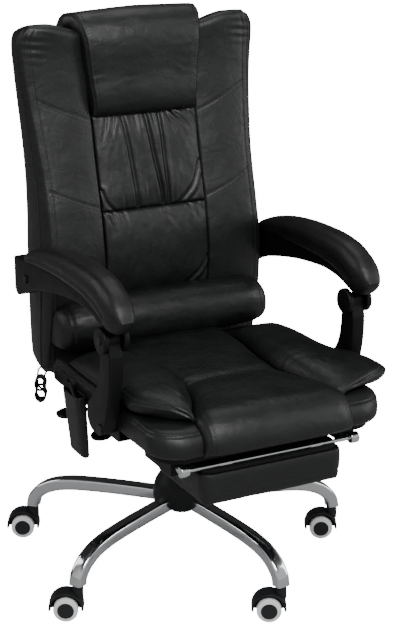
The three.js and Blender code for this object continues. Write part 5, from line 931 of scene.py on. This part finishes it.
# %% Seat bolsters
BOLSTER_REAR, BOLSTER_TIP = 36.0, -356.0
CREST_SHARES = [[0, .42], [.12, .72], [.35, .95], [.6, 1], [.8, .92], [1, .5]]
OUTER_EDGES = {
    "left": [[0, 232], [.1, 238], [.3, 240], [.55, 242], [.66, 250], [.74, 276], [.81, 291], [.88, 288], [.93, 266],
             [.97, 222], [1, 165]],
    "right": [[0, 232], [.1, 238], [.3, 240], [.55, 241], [.68, 241], [.76, 240], [.82, 228], [.88, 207], [.94, 182],
              [.98, 163], [1, 152]],
}
v = np.concatenate([0.1 * np.linspace(0, 1, 10) ** 2, np.linspace(0.1, 0.9, 130)[1:-1], 1 - 0.1 * np.linspace(1, 0, 16) ** 2])
u = edge_dense(0.3, 18, 54)
U, V = np.meshgrid(u, v)
for side, sign in SIDES:
    y = BOLSTER_REAR + (BOLSTER_TIP - BOLSTER_REAR) * V
    inner = np.minimum(pad_seam_x(y) + 0.3, 149)
    outer = along(OUTER_EDGES[side], V)
    x = inner + (outer - inner) * (U + 1) / 2
    ends = np.minimum(1, np.minimum((V / 0.1) ** 0.5, (np.clip(1 - V, 0, 1) / 0.07) ** 0.5))
    crest = 47 * along(CREST_SHARES, V)
    free = eased(V, 0.5, 0.68) * eased(U, -0.2, 0.6)
    seam_height = (12 + 9 * free) * ends
    droop = 6 * np.clip((x - 240) / 40, 0, 1)
    swell = np.where(U > 0, 1 - np.abs(U) ** 2.6, 1 - np.abs(U) ** 4) ** 0.62 * ends
    top = np.stack([x, y, SEAT_TOP + 1 + seam_height - droop + (crest - seam_height) * swell], axis=-1)
    under_round = (1 - np.abs(U) ** 7) ** 0.5 * ends
    bottom = np.stack([x, y, SEAT_TOP + 1 + (seam_height - droop) * (1 - under_round)], axis=-1)
    facing = normals_of(top)
    facing *= np.sign(facing[..., 2:3] + 1e-9)
    soft = (swell * (1.2 * wobble(top, 50, 51) + 0.5 * wobble(top * (1, 0.4, 1), 9, 52)))[..., None]
    tucks = np.exp(-((V - 0.66) / 0.07) ** 2 - ((U + 1) / 0.4) ** 2) * np.sin(y / 3.6 + 0.06 * x)
    top = top + facing * (soft + (0.8 * swell * tucks)[..., None])
    seams = [top[78:-6, np.argmin(np.abs(u - place))] for place in (0.955, 0.86)]
    for line in seams:
        top = pressed(top, facing, line, 1.6, 2.0)
        stitch("seat", top * (sign, 1, 1), (line + (-2.2, 0, 0)) * (sign, 1, 1))
    bottom[0], bottom[-1], bottom[:, 0], bottom[:, -1] = top[0], top[-1], top[:, 0], top[:, -1]
    skin(f"bolster_cover_{side}", for_side(sign, round_a_pad(top, bottom)), "leather", "seat", [f"seat_bolster_{side}"],
         sharp=0)

# %% [markdown]
# The arms are moulded: a broad post that rises from the seat, a slender beam that runs back to the
# frame, and a round barrel where the two are pinned together. The side outlines are the solid
# model's, drawn with many more points, and every edge is rounded over 3 mm like a moulded part.

# %% Moulded plates
def offset_outline(points, inset):
    """Moves a closed outline inwards along its normals."""
    step = np.roll(points, -1, axis=0) - np.roll(points, 1, axis=0)
    normal = np.stack([step[:, 1], -step[:, 0]], axis=-1)
    normal /= np.maximum(np.linalg.norm(normal, axis=1, keepdims=True), 1e-9)
    area = np.sum(points[:, 0] * np.roll(points[:, 1], -1) - np.roll(points[:, 0], -1) * points[:, 1])
    return points - normal * inset * np.sign(area)


def plate(outline, x0, x1, edge):
    """An outline in (y, z) carried from x0 to x1, its edges rounded in five steps of a quarter circle."""
    a = np.linspace(0, np.pi / 2, 6)
    places = np.concatenate([x0 + edge * (1 - np.sin(a)), x1 - edge * (1 - np.sin(a[::-1]))])
    insets = np.concatenate([edge * (1 - np.cos(a[::-1])), edge * (1 - np.cos(a))])
    places = np.concatenate([x0 + edge * (1 - np.cos(a)), x1 - edge * (1 - np.cos(a[::-1]))])
    insets = np.concatenate([edge * (1 - np.sin(a)), edge * (1 - np.sin(a[::-1]))])
    rings = []
    for x, inset in zip(places, insets):
        ring = offset_outline(outline, inset)
        rings.append(np.column_stack([np.full(len(ring), x), ring]))
    return np.array(rings)


def resampled(points, count):
    """The same closed outline with evenly spaced points."""
    closed = np.vstack([points, points[:1]])
    walked = np.concatenate([[0], np.cumsum(np.linalg.norm(np.diff(closed, axis=0), axis=1))])
    s = np.linspace(0, walked[-1], count, endpoint=False)
    return np.stack([np.interp(s, walked, closed[:, k]) for k in (0, 1)], axis=-1)


def spun(profile, start, axis, sides=40):
    """Rings of [radius, distance] pairs round an axis from a start point."""
    axis = np.asarray(axis, float)
    axis = axis / np.linalg.norm(axis)
    side = np.cross(axis, (0.2, 0.3, 0.93) if abs(axis[2]) < 0.9 else (1.0, 0.0, 0.0))
    side /= np.linalg.norm(side)
    up = np.cross(axis, side)
    t = np.linspace(0, 2 * np.pi, sides, endpoint=False)
    circle = np.cos(t)[:, None] * side + np.sin(t)[:, None] * up
    return np.array([np.asarray(start, float) + axis * d + circle * max(r, 1e-3) for r, d in profile])


def disc(radius, length, edge):
    """Profile of a round bar or disc with rounded rims."""
    a = np.linspace(0, np.pi / 2, 5)
    first = [(radius - edge * (1 - np.sin(t)), edge * (1 - np.cos(t))) for t in a]
    last = [(r, length - d) for r, d in first[::-1]]
    return [(0, 0)] + first + last + [(0, length)]


# %% Arm posts
POST_IN, POST_WIDTH = 244.5, 28.0
POST_X = POST_IN + POST_WIDTH / 2
KNUCKLE = (-235.0, 593.0)
POST_LOBE = [[-.04, .86], [-.03, .76], [.02, .6], [.12, .48], [.3, .36], [.5, .25], [.56, .13], [.5, .03], [.32, -.03],
             [.1, -.03], [-.1, .02], [-.2, .12], [-.28, .25], [-.36, .4], [-.43, .58], [-.46, .75], [-.46, .87]]
lobe = smooth_path([[-205 + a * 108, 399 + b * 188] for a, b in POST_LOBE], 200)
eye_turn = np.radians(np.linspace(205, -25, 40))
eye = np.stack([KNUCKLE[0] + 15 * np.cos(eye_turn), KNUCKLE[1] + 15 * np.sin(eye_turn)], axis=-1)
post_outline = resampled(np.concatenate([eye, lobe]), 240)
for side, sign in SIDES:
    skin(f"post_{side}", for_side(sign, plate(post_outline, POST_IN, POST_IN + POST_WIDTH, 4.0)), "nylon",
         f"arm_post_{side}", [f"arm_post_{side}"], sharp=40)

# %% Arm beams and barrels
ARM_X = POST_X + 3
ARM_TOP_SHARES = [[0, .84], [.08, .87], [.3, .96], [.5, 1], [.68, .985], [.8, .93], [.9, .8], [.96, .66], [1, .5]]
ARM_UNDER_SHARES = [[0, .12], [.03, .01], [.1, .14], [.2, .32], [.35, .51], [.5, .65], [.65, .735], [.75, .755],
                    [.85, .7], [.93, .58], [1, .5]]


def arm_top(t):
    return 656 - 94 * (1 - along(ARM_TOP_SHARES, t))


t = np.linspace(0, 1, 120)
top_line = np.stack([196 - 458 * t, arm_top(t)], axis=-1)
under_line = np.stack([196 - 458 * t, 656 - 94 * (1 - along(ARM_UNDER_SHARES, t))], axis=-1)[::-1]
beam_outline = resampled(np.concatenate([top_line, under_line[1:]]), 300)
for side, sign in SIDES:
    beam = plate(beam_outline, ARM_X - 15.5, ARM_X + 15.5, 3.0)
    barrels = [spun(disc(25, 11, 2.2), (POST_X + shift, *KNUCKLE), (1, 0, 0), 56) for shift in (14.7, -25.7)]
    skin(f"beam_{side}", [for_side(sign, s) for s in [beam, *barrels]], "nylon", f"armrest_{side}",
         [f"armrest_beam_{side}", f"knuckle_pin_{side}"], sharp=40)
    caps = [spun(disc(8.5, 2.6, 0.8), (POST_X + 25.2, *KNUCKLE), (1, 0, 0), 32)]
    skin(f"barrel_cap_{side}", [for_side(sign, s) for s in caps], "paint", f"armrest_{side}", sharp=40)

# %% [markdown]
# The arm pads are foamed polyurethane with a leathery skin. The section is a rounded rectangle that
# narrows to the rear, and the nose curls down in front of the barrel.

# %% Arm pads
PAD_CREST = [[0, .22], [.02, .37], [.06, .5], [.16, .72], [.3, .9], [.48, 1.02], [.66, 1.05], [.8, .97], [.87, .83],
             [.92, .68], [.96, .48], [.985, .28], [1, .06]]
PAD_NOSE = [[.84, -.37], [.88, -.58], [.93, -.6], [.965, -.48], [.99, -.3], [1, -.16]]
PAD_FULL = [[0, .55], [.012, .8], [.04, .97], [.1, 1], [.8, 1], [.88, .97], [.94, .86], [.98, .62], [1, .32]]
PAD_REAR, PAD_TIP = 134.0, -306.0
t = np.concatenate([0.06 * np.linspace(0, 1, 8) ** 2, np.linspace(0.06, 0.94, 110)[1:-1], 1 - 0.06 * np.linspace(1, 0, 14) ** 2])
y = PAD_REAR + (PAD_TIP - PAD_REAR) * t
blend = eased(t, 0.80, 0.88)
under = (1 - blend) * (arm_top(np.clip((196 - y) / 458, 0, 1)) - 2) + blend * (656 + 70 * along(PAD_NOSE, t))
crest = 709 - 70 * (1 - along(PAD_CREST, t))
widening = np.clip((166 - y) / 470 / 0.45, 0, 1)
half = (21 + 8 * widening) * along(PAD_FULL, t)
middle_x = (POST_IN + 19.8) * (1 - widening) + POST_X * widening
section = squared(1, 1, 56, 2.7)
arm_pad = np.stack([
    middle_x[:, None] + half[:, None] * section[None, :, 0], np.broadcast_to(y[:, None], (len(t), 56)),
    (crest + under)[:, None] / 2 + (crest - under)[:, None] / 2 * section[None, :, 1]], axis=-1)
arm_pad = arm_pad + np.array([0, 0, 1]) * (0.5 * wobble(arm_pad, 60, 61))[..., None]
pad_facing = np.stack([np.broadcast_to(section[:, 0], (len(t), 56)), np.zeros((len(t), 56)),
                       np.broadcast_to(section[:, 1], (len(t), 56))], axis=-1)
for way in (1, -1):
    column = np.argmin(np.abs(section[:, 1] + 0.2) + 9 * (section[:, 0] * way < 0))
    pad_seam = arm_pad[6:-16:4, column]
    arm_pad = pressed(arm_pad, pad_facing, pad_seam, 2.4, 2.2)
    for side, sign in SIDES:
        stitch(f"armrest_{side}", arm_pad * (sign, 1, 1), (pad_seam + (0, 0, 3.2)) * (sign, 1, 1))
for side, sign in SIDES:
    skin(f"arm_pad_{side}", for_side(sign, arm_pad), "arm_pad", f"armrest_{side}", [f"armrest_pad_{side}"], sharp=0)

# %% [markdown]
# The star base has five legs pressed from tube: nearly level near the hub, then curving down to a
# foot above its caster. The section is a rounded rectangle that follows the leg's centre line.

# %% Star base
LEG_SHARES = [[0, 1], [.3, .995], [.55, .965], [.72, .905], [.84, .78], [.93, .56], [.985, .27], [1, 0]]
LEG_ANGLES = np.radians(8.3 - 90 + 72 * np.arange(5))
leg_line = smooth_path([[29 + a * 306, 71 + b * 67] for a, b in LEG_SHARES], 90)
ahead = np.gradient(leg_line, axis=0)
ahead /= np.linalg.norm(ahead, axis=1, keepdims=True)
ahead[-1] = (0, -1)
share = np.linspace(0, 1, 90)
half_high = 13.5 + (12.5 - 13.5) * share**3
section = squared(1, 1, 72, 4.6)
radial_out = leg_line[:, 0][:, None] - ahead[:, 1][:, None] * half_high[:, None] * section[None, :, 1]
height = leg_line[:, 1][:, None] + ahead[:, 0][:, None] * half_high[:, None] * section[None, :, 1]
sideways = 15 * np.broadcast_to(section[None, :, 0], radial_out.shape)
legs = [np.stack([radial_out * np.cos(a) - sideways * np.sin(a), radial_out * np.sin(a) + sideways * np.cos(a), height],
                 axis=-1) for a in LEG_ANGLES]
skin("star_legs", legs, "chrome", "base", ["star_base"], sharp=40)
skin("hub_socket", spun([(0, 110), (25, 110), (30, 116), (33, 126), (33, 158), (31, 160), (0, 160)], (0, 0, 0), (0, 0, 1), 56), "hood",
     "base", sharp=35)

# %% Bell, column and piston
BELL = [[.95, 0], [1, .22], [.86, .46], [.42, .68], [.12, .86], [0, 1]]
bell_out = smooth_path([[30 + a * 29, 129 + b * 97] for a, b in BELL], 50)
bell_in = bell_out[::-1] - (2.6, 0)
bell = spun([tuple(p) for p in np.vstack([bell_out, bell_in, bell_out[:1]])], (0, 0, 0), (0, 0, 1), 72)
skin("bell", bell, "hood", "base", ["hub_cover"], sharp=40)
skin("column", spun([(0, 112), (23.6, 112), (25, 152), (25, 314), (22, 318), (14.3, 318), (14.3, 300), (0, 300)], (0, 0, 0),
                    (0, 0, 1), 56), "paint", "base", ["gas_cylinder"], sharp=35)
skin("piston", spun([(0, 150), (14, 150), (14, 348), (12.5, 382), (0, 382)], (0, 0, 0), (0, 0, 1), 40), "rod", "lift",
     ["gas_piston"], sharp=35)

# %% [markdown]
# Each caster is a hood of moulded nylon between two wheels, with a stem up into the leg. The wheels
# have a pale tyre round a dark cap, so each is made of two spun shapes, and the hood is a curved band
# with rounded rims and a web in its middle.

# %% Casters
TRAIL_ANGLE = np.radians(152.3)
AXLE_Z = 25 * np.cos(np.pi / 16)


def caster_place(points, leg):
    """From the caster's own frame, stem at the origin and wheels trailing along x, to the chair's."""
    x, y = points[..., 0], points[..., 1]
    stem = 335 * np.array([np.cos(leg), np.sin(leg)])
    return np.stack([stem[0] + x * np.cos(TRAIL_ANGLE) - y * np.sin(TRAIL_ANGLE),
                     stem[1] + x * np.sin(TRAIL_ANGLE) + y * np.cos(TRAIL_ANGLE), points[..., 2]], axis=-1)


a = np.radians(np.linspace(-4, 184, 60))
band = squared(2.5, 19, 28, 5)
hood = np.stack([23 + (32 + band[None, :, 0]) * np.cos(a)[:, None], np.broadcast_to(band[None, :, 1], (60, 28)),
                 AXLE_Z + (32 + band[None, :, 0]) * np.sin(a)[:, None]], axis=-1)
web_turn = np.radians(np.linspace(-4, 184, 50))
web_outline = np.stack([23 + 31 * np.cos(web_turn), AXLE_Z + 31 * np.sin(web_turn)], axis=-1)
web = np.stack([np.column_stack([web_outline[:, 0], np.full(50, yy), web_outline[:, 1]]) for yy in (-3.7, 3.7)])
boss = spun([(0, 44), (11, 44), (11, 68), (9.8, 69.6), (0, 69.6)], (0, 0, 0), (0, 0, 1), 36)
stem = spun([(5.5, 66), (5.5, 94)], (0, 0, 0), (0, 0, 1), 24)
tyre = [(16.0, 23.5), (17.6, 23.3), (18.2, 22.6), (22.0, 22.5), (23.8, 21.4), (24.5, 19.6), (24.5, 8.4), (23.7, 6.2),
        (22.0, 5.0), (16.0, 5.0)]
cap = [(0, 23.2), (6, 23.25), (13, 23.4), (16.4, 23.5), (17.1, 23.0), (17.1, 21.5), (16.5, 7), (0, 7)]
for k, leg in enumerate(LEG_ANGLES, 1):
    skin(f"caster_hood_{k}", [caster_place(s, leg) for s in (hood, web, boss)], "hood", f"caster_{k}",
         [f"caster_fork_{k}"], sharp=40)
    skin(f"caster_stem_{k}", caster_place(stem, leg), "rod", f"caster_{k}", sharp=40)
    for letter, way in (("a", 1), ("b", -1)):
        axle = (23, 0, AXLE_Z)
        for part, profile, finish in (("tyre", tyre, "tyre"), ("cap", cap, "cap")):
            rings = spun(profile + profile[:1] if part == "tyre" else profile, axle, (0, way, 0), 64)
            skin(f"{part}_{k}{letter}", caster_place(rings, leg), finish, f"wheel_{k}{letter}",
                 [f"caster_wheel_{k}{letter}"] if part == "tyre" else (), sharp=35)

# %% [markdown]
# The footrest hangs under the seat on two chromed tubes. Its pad is a boxed cushion, face down
# while it is stowed: a crowned face, side bands, and a seam all round.

# %% Footrest pad
REST_FRONT, REST_REAR, REST_HALF = -386.0, -176.0, 150.0
REST_TOP, REST_THICK, REST_CORNER = 357.0, 66.0, 22.0
v = np.concatenate([0.06 * np.linspace(0, 1, 12) ** 2, np.linspace(0.06, 0.94, 60)[1:-1], 1 - 0.06 * np.linspace(1, 0, 12) ** 2])
u = edge_dense(0.06, 12, 90)
U, V = np.meshgrid(u, v)
y = REST_FRONT + (REST_REAR - REST_FRONT) * V
end = np.minimum(y - REST_FRONT, REST_REAR - y)
draw_in = np.where(end < REST_CORNER, REST_CORNER - np.sqrt(np.maximum(REST_CORNER**2 - (REST_CORNER - end) ** 2, 0)), 0)
x = U * (REST_HALF - draw_in)
seam = 18.0
full = fullness(U, V, 0.06, 0.05)
crown = 0.9 + 0.1 * (1 - U**2) * (1 - (2 * V - 1) ** 2)
face = np.stack([x, y, REST_TOP - seam - (REST_THICK - seam) * full * crown], axis=-1)
back = np.stack([x, y, REST_TOP - seam + seam * np.minimum(1, fullness(U, V, 0.03, 0.04) * 1.2)], axis=-1)
facing = -normals_of(face)
facing *= -np.sign(facing[..., 2:3] + 1e-9)
face = face + facing * (full * (1.0 * wobble(face, 45, 71) + 0.4 * wobble(face, 10, 72)))[..., None]
rim = [face[np.argmin(np.abs(v - s)), 8:-8] for s in (0.012, 0.988)] + [face[8:-8, np.argmin(np.abs(u - s))] for s in (-0.988, 0.988)]
for line in rim:
    face = pressed(face, facing, line, 1.6, 2.4)
back[0], back[-1], back[:, 0], back[:, -1] = face[0], face[-1], face[:, 0], face[:, -1]
skin("footrest_cover", round_a_pad(face, back), "leather", "footrest", ["footrest_pad"], sharp=0)

# %% Footrest board
board_section = squared(1, 1, 72, 9)
board_levels = [(357.3, 146.0), (357.3, 147.5), (363.4, 147.5), (364.3, 146.5)]
board = np.array([np.column_stack([half * board_section[:, 0], -278 + (half - 47.5) * board_section[:, 1],
                                   np.full(72, level)]) for level, half in board_levels])
skin("footrest_board_cover", board, "lining", "footrest", ["footrest_board"], sharp=40)
strap_section = squared(13, 12, 40, 8)
sleeves = [spun(disc(5.4, 26, 0.5), (x, -368, 368), (1, 0, 0), 32) for x in (-109, 83)]
tongues = [np.array([np.column_stack([x + strap_section[:, 0], -357 + strap_section[:, 1], np.full(40, level)])
                     for level in (360.0, 364.2)]) for x in (-96, 96)]
skin("hinge_sleeves", sleeves + tongues, "chrome", "footrest", sharp=40)

# %% Rails and crossbar
for side, sign in SIDES:
    tube = spun([(0, 0), (9.4, 0), (10, 0.6), (10, 405), (8.2, 405), (8.2, 396), (0, 396)], (180, -362, 368), (0, 1, 0), 40)
    barrel = spun(disc(11, 18, 2.4), (171, -368, 368), (1, 0, 0), 48)
    skin(f"rail_{side}", [for_side(sign, s) for s in (tube, barrel)], "chrome", "footrest_slider",
         [f"footrest_rail_{side}"], sharp=40)
skin("crossbar", spun(disc(4, 341.4, 0.4), (-170.7, -368, 368), (1, 0, 0), 32), "chrome", "footrest_slider",
     ["footrest_crossbar"], sharp=40)

# %% [markdown]
# Two levers stick out under the seat, each a steel rod with a flat moulded paddle. The handset
# of the remote sits in a knitted pocket on the seat's side, open at the top.

# %% Levers
def lever(name, root_y, paddle_x, paddle_y):
    rod_start, rod_end = np.array([-34, root_y, 344.0]), np.array([paddle_x, paddle_y, 344.0])
    stalk = spun(disc(4, np.linalg.norm(rod_end - rod_start), 0.6), rod_start, rod_end - rod_start, 24)
    t = np.concatenate([-1 + 0.2 * np.linspace(0, 1, 8) ** 2, np.linspace(-0.8, 0.8, 24)[1:-1], 1 - 0.2 * np.linspace(1, 0, 8) ** 2])
    swell = np.sqrt(1 - 0.82 * t * t)
    ring = squared(1, 1, 40, 2.6)
    wide, thick = 13.5 * swell[:, None] * ring[None, :, 0], 5.5 * swell[:, None] * ring[None, :, 1]
    tilt = np.radians(28)
    paddle = np.stack([np.broadcast_to((paddle_x - 21 * t)[:, None], (len(t), 40)),
                       paddle_y + wide * np.cos(tilt) - thick * np.sin(tilt),
                       344 + wide * np.sin(tilt) + thick * np.cos(tilt)], axis=-1)
    skin(f"{name}_rod", stalk, "paint", name, sharp=40)
    skin(f"{name}_paddle", paddle, "nylon", name, [name], sharp=0)


lever("height_lever", -66, -217, -86)
lever("recline_lever", 48, -231, 52)

# %% Pouch and handset
def pouch_at(z):
    t = (z - 302) / 122
    thickness = 17 + 7 * t
    return -240.3 - thickness / 2, -55 + 15 * t, (68 + 10 * t) / 2, thickness


def pouch_rings(inset, z):
    x, y, half, thickness = pouch_at(z)
    ring = squared(1, 1, 48, 4)
    return np.stack([x[:, None] + (thickness / 2 - inset)[:, None] * ring[None, :, 0],
                     y[:, None] + (half - inset)[:, None] * ring[None, :, 1],
                     np.broadcast_to(z[:, None], (len(z), 48))], axis=-1)


z_out = np.concatenate([302 + 3 * np.linspace(0, 1, 5) ** 2, np.linspace(305, 424, 50)[1:]])
tight = 3 * (1 - np.sqrt(np.clip((z_out - 302) / 3, 0, 1)))
outer_wall = pouch_rings(tight, z_out)
z_in = np.linspace(424, 306, 30)
pouch = np.concatenate([outer_wall, pouch_rings(np.full(30, 2.0), z_in)])
pouch = pouch + (np.array([0.5, 0.6, 0])) * (0.7 * wobble(pouch * (1, 1, 0.5), 14, 81))[..., None]
skin("pouch", pouch, "leather", "seat", ["remote_pouch"], sharp=0)
t = np.linspace(0, 1, 60)
HANDSET = [[0, .8, .7], [.04, 1, 1], [.6, 1, 1], [.78, .86, .9], [.93, .6, .7], [1, .45, .5]]
wide = along([[a, b] for a, b, c in HANDSET], t)
thick = along([[a, c] for a, b, c in HANDSET], t)
z = 318 + 120 * t
x, y, _, _ = pouch_at(np.minimum(z, 424))
lean = 68 * np.maximum(0, t - 0.6)
ring = squared(1, 1, 44, 3.4)
handset = np.stack([x[:, None] + 6 * thick[:, None] * ring[None, :, 0], (y + lean)[:, None] + 17.5 * wide[:, None] * ring[None, :, 1],
                    np.broadcast_to(z[:, None], (60, 44))], axis=-1)
skin("handset", handset, "nylon", "seat", ["remote_handset"], sharp=40)

# %% Finishes of the carried-over steel and board
CARRIED = {
    "paint": ["tilt_mechanism", "recline_crossmember", "back_foot", "arm_strap_left", "arm_strap_right",
              "arm_rear_bolt_left", "arm_rear_bolt_right"],
    "nylon": ["footrest_guide_left", "footrest_guide_right"],
    "lining": ["seat_board"],
}
for finish, names in CARRIED.items():
    for name in names:
        for material_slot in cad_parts[name].material_slots:
            material_slot.material = FINISH[finish]

# %% Stitches
sew_stitches()

# %% [markdown]
# The studio is plain: a pale floor that runs into a white surround, and three large soft lights. Black
# leather and chrome show nothing but their surroundings. So the room that they mirror is a calm grey
# with a dark card behind the chair, which draws the black stripe along the chromed legs, while the
# camera itself sees the white sweep of a photographer's studio.

# %% Floor and surround
SWEEP = 16.0


def seen_and_mirrored(tree, seen, mirrored):
    """Mixes two shaders: the first for rays from the camera, the second for all others."""
    path = add(tree, "ShaderNodeLightPath")
    mix = add(tree, "ShaderNodeMixShader", {"Fac": path.outputs["Is Camera Ray"]})
    tree.links.new(mirrored, mix.inputs[1])
    tree.links.new(seen, mix.inputs[2])
    return mix.outputs["Shader"]


floor_mesh = bpy.data.meshes.new("floor")
floor_mesh.from_pydata([(-30, -30, -0.0005), (30, -30, -0.0005), (30, 30, -0.0005), (-30, 30, -0.0005)], [],
                       [(0, 1, 2, 3)])
floor_material, floor_tree, floor_shader = new_material("white_sweep_paper", Base_Color=linear("#a8a8a8"), Roughness=0.8)
glow = add(floor_tree, "ShaderNodeEmission", {"Strength": SWEEP})
both = add(floor_tree, "ShaderNodeAddShader")
floor_tree.links.new(floor_shader.outputs["BSDF"], both.inputs[0])
floor_tree.links.new(glow.outputs["Emission"], both.inputs[1])
floor_tree.links.new(seen_and_mirrored(floor_tree, both.outputs["Shader"], floor_shader.outputs["BSDF"]),
                     floor_tree.nodes["Material Output"].inputs["Surface"])
floor_mesh.materials.append(floor_material)
floor = bpy.data.objects.new("floor", floor_mesh)
bpy.context.scene.collection.objects.link(floor)
world = bpy.data.worlds.new("studio")
world.use_nodes = True
room = world.node_tree
room.nodes.clear()
direction = add(room, "ShaderNodeTexCoord").outputs["Generated"]
split = add(room, "ShaderNodeSeparateXYZ", {"Vector": direction})
behind = add(room, "ShaderNodeMapRange", {"Value": split.outputs["Y"], "From Min": 0.1, "From Max": 0.45},
             interpolation_type="SMOOTHSTEP")
ceiling = add(room, "ShaderNodeMapRange", {"Value": split.outputs["Z"], "From Min": 0.5, "From Max": 0.8, "To Max": 0.92},
              interpolation_type="SMOOTHSTEP")
dark = add(room, "ShaderNodeMath", {0: behind.outputs["Result"], 1: ceiling.outputs["Result"]}, operation="MAXIMUM")
level = add(room, "ShaderNodeMapRange", {"Value": dark.outputs["Value"], "To Min": 0.62, "To Max": 0.03})
mirrored_room = add(room, "ShaderNodeBackground", {"Strength": level.outputs["Result"]})
seen_room = add(room, "ShaderNodeBackground", {"Strength": SWEEP + 0.5})
for node in (mirrored_room, seen_room):
    node.inputs["Color"].default_value = (1, 1, 1, 1)
out = add(room, "ShaderNodeOutputWorld")
room.links.new(seen_and_mirrored(room, seen_room.outputs["Background"], mirrored_room.outputs["Background"]),
               out.inputs["Surface"])
bpy.context.scene.world = world

# %% Lights
def soft_light(name, place, target, size, power):
    """A rectangular area light that looks at a target."""
    data = bpy.data.lights.new(name, "AREA")
    data.shape = "RECTANGLE"
    data.size, data.size_y = size
    data.energy = power
    light = bpy.data.objects.new(name, data)
    bpy.context.scene.collection.objects.link(light)
    light.location = place
    light.rotation_euler = (Vector(target) - Vector(place)).to_track_quat("-Z", "Y").to_euler()


soft_light("key", (-0.6, -2.4, 3.0), (0, 0, 0.6), (2.0, 1.2), 96)
soft_light("fill", (2.8, -1.6, 1.5), (0, 0, 0.6), (1.0, 2.0), 26)
soft_light("rim", (-2.4, 1.6, 2.0), (0, 0.1, 0.8), (1.2, 1.8), 20)
soft_light("top", (0.5, 0.7, 3.0), (0, -0.1, 0.5), (1.6, 1.2), 14)
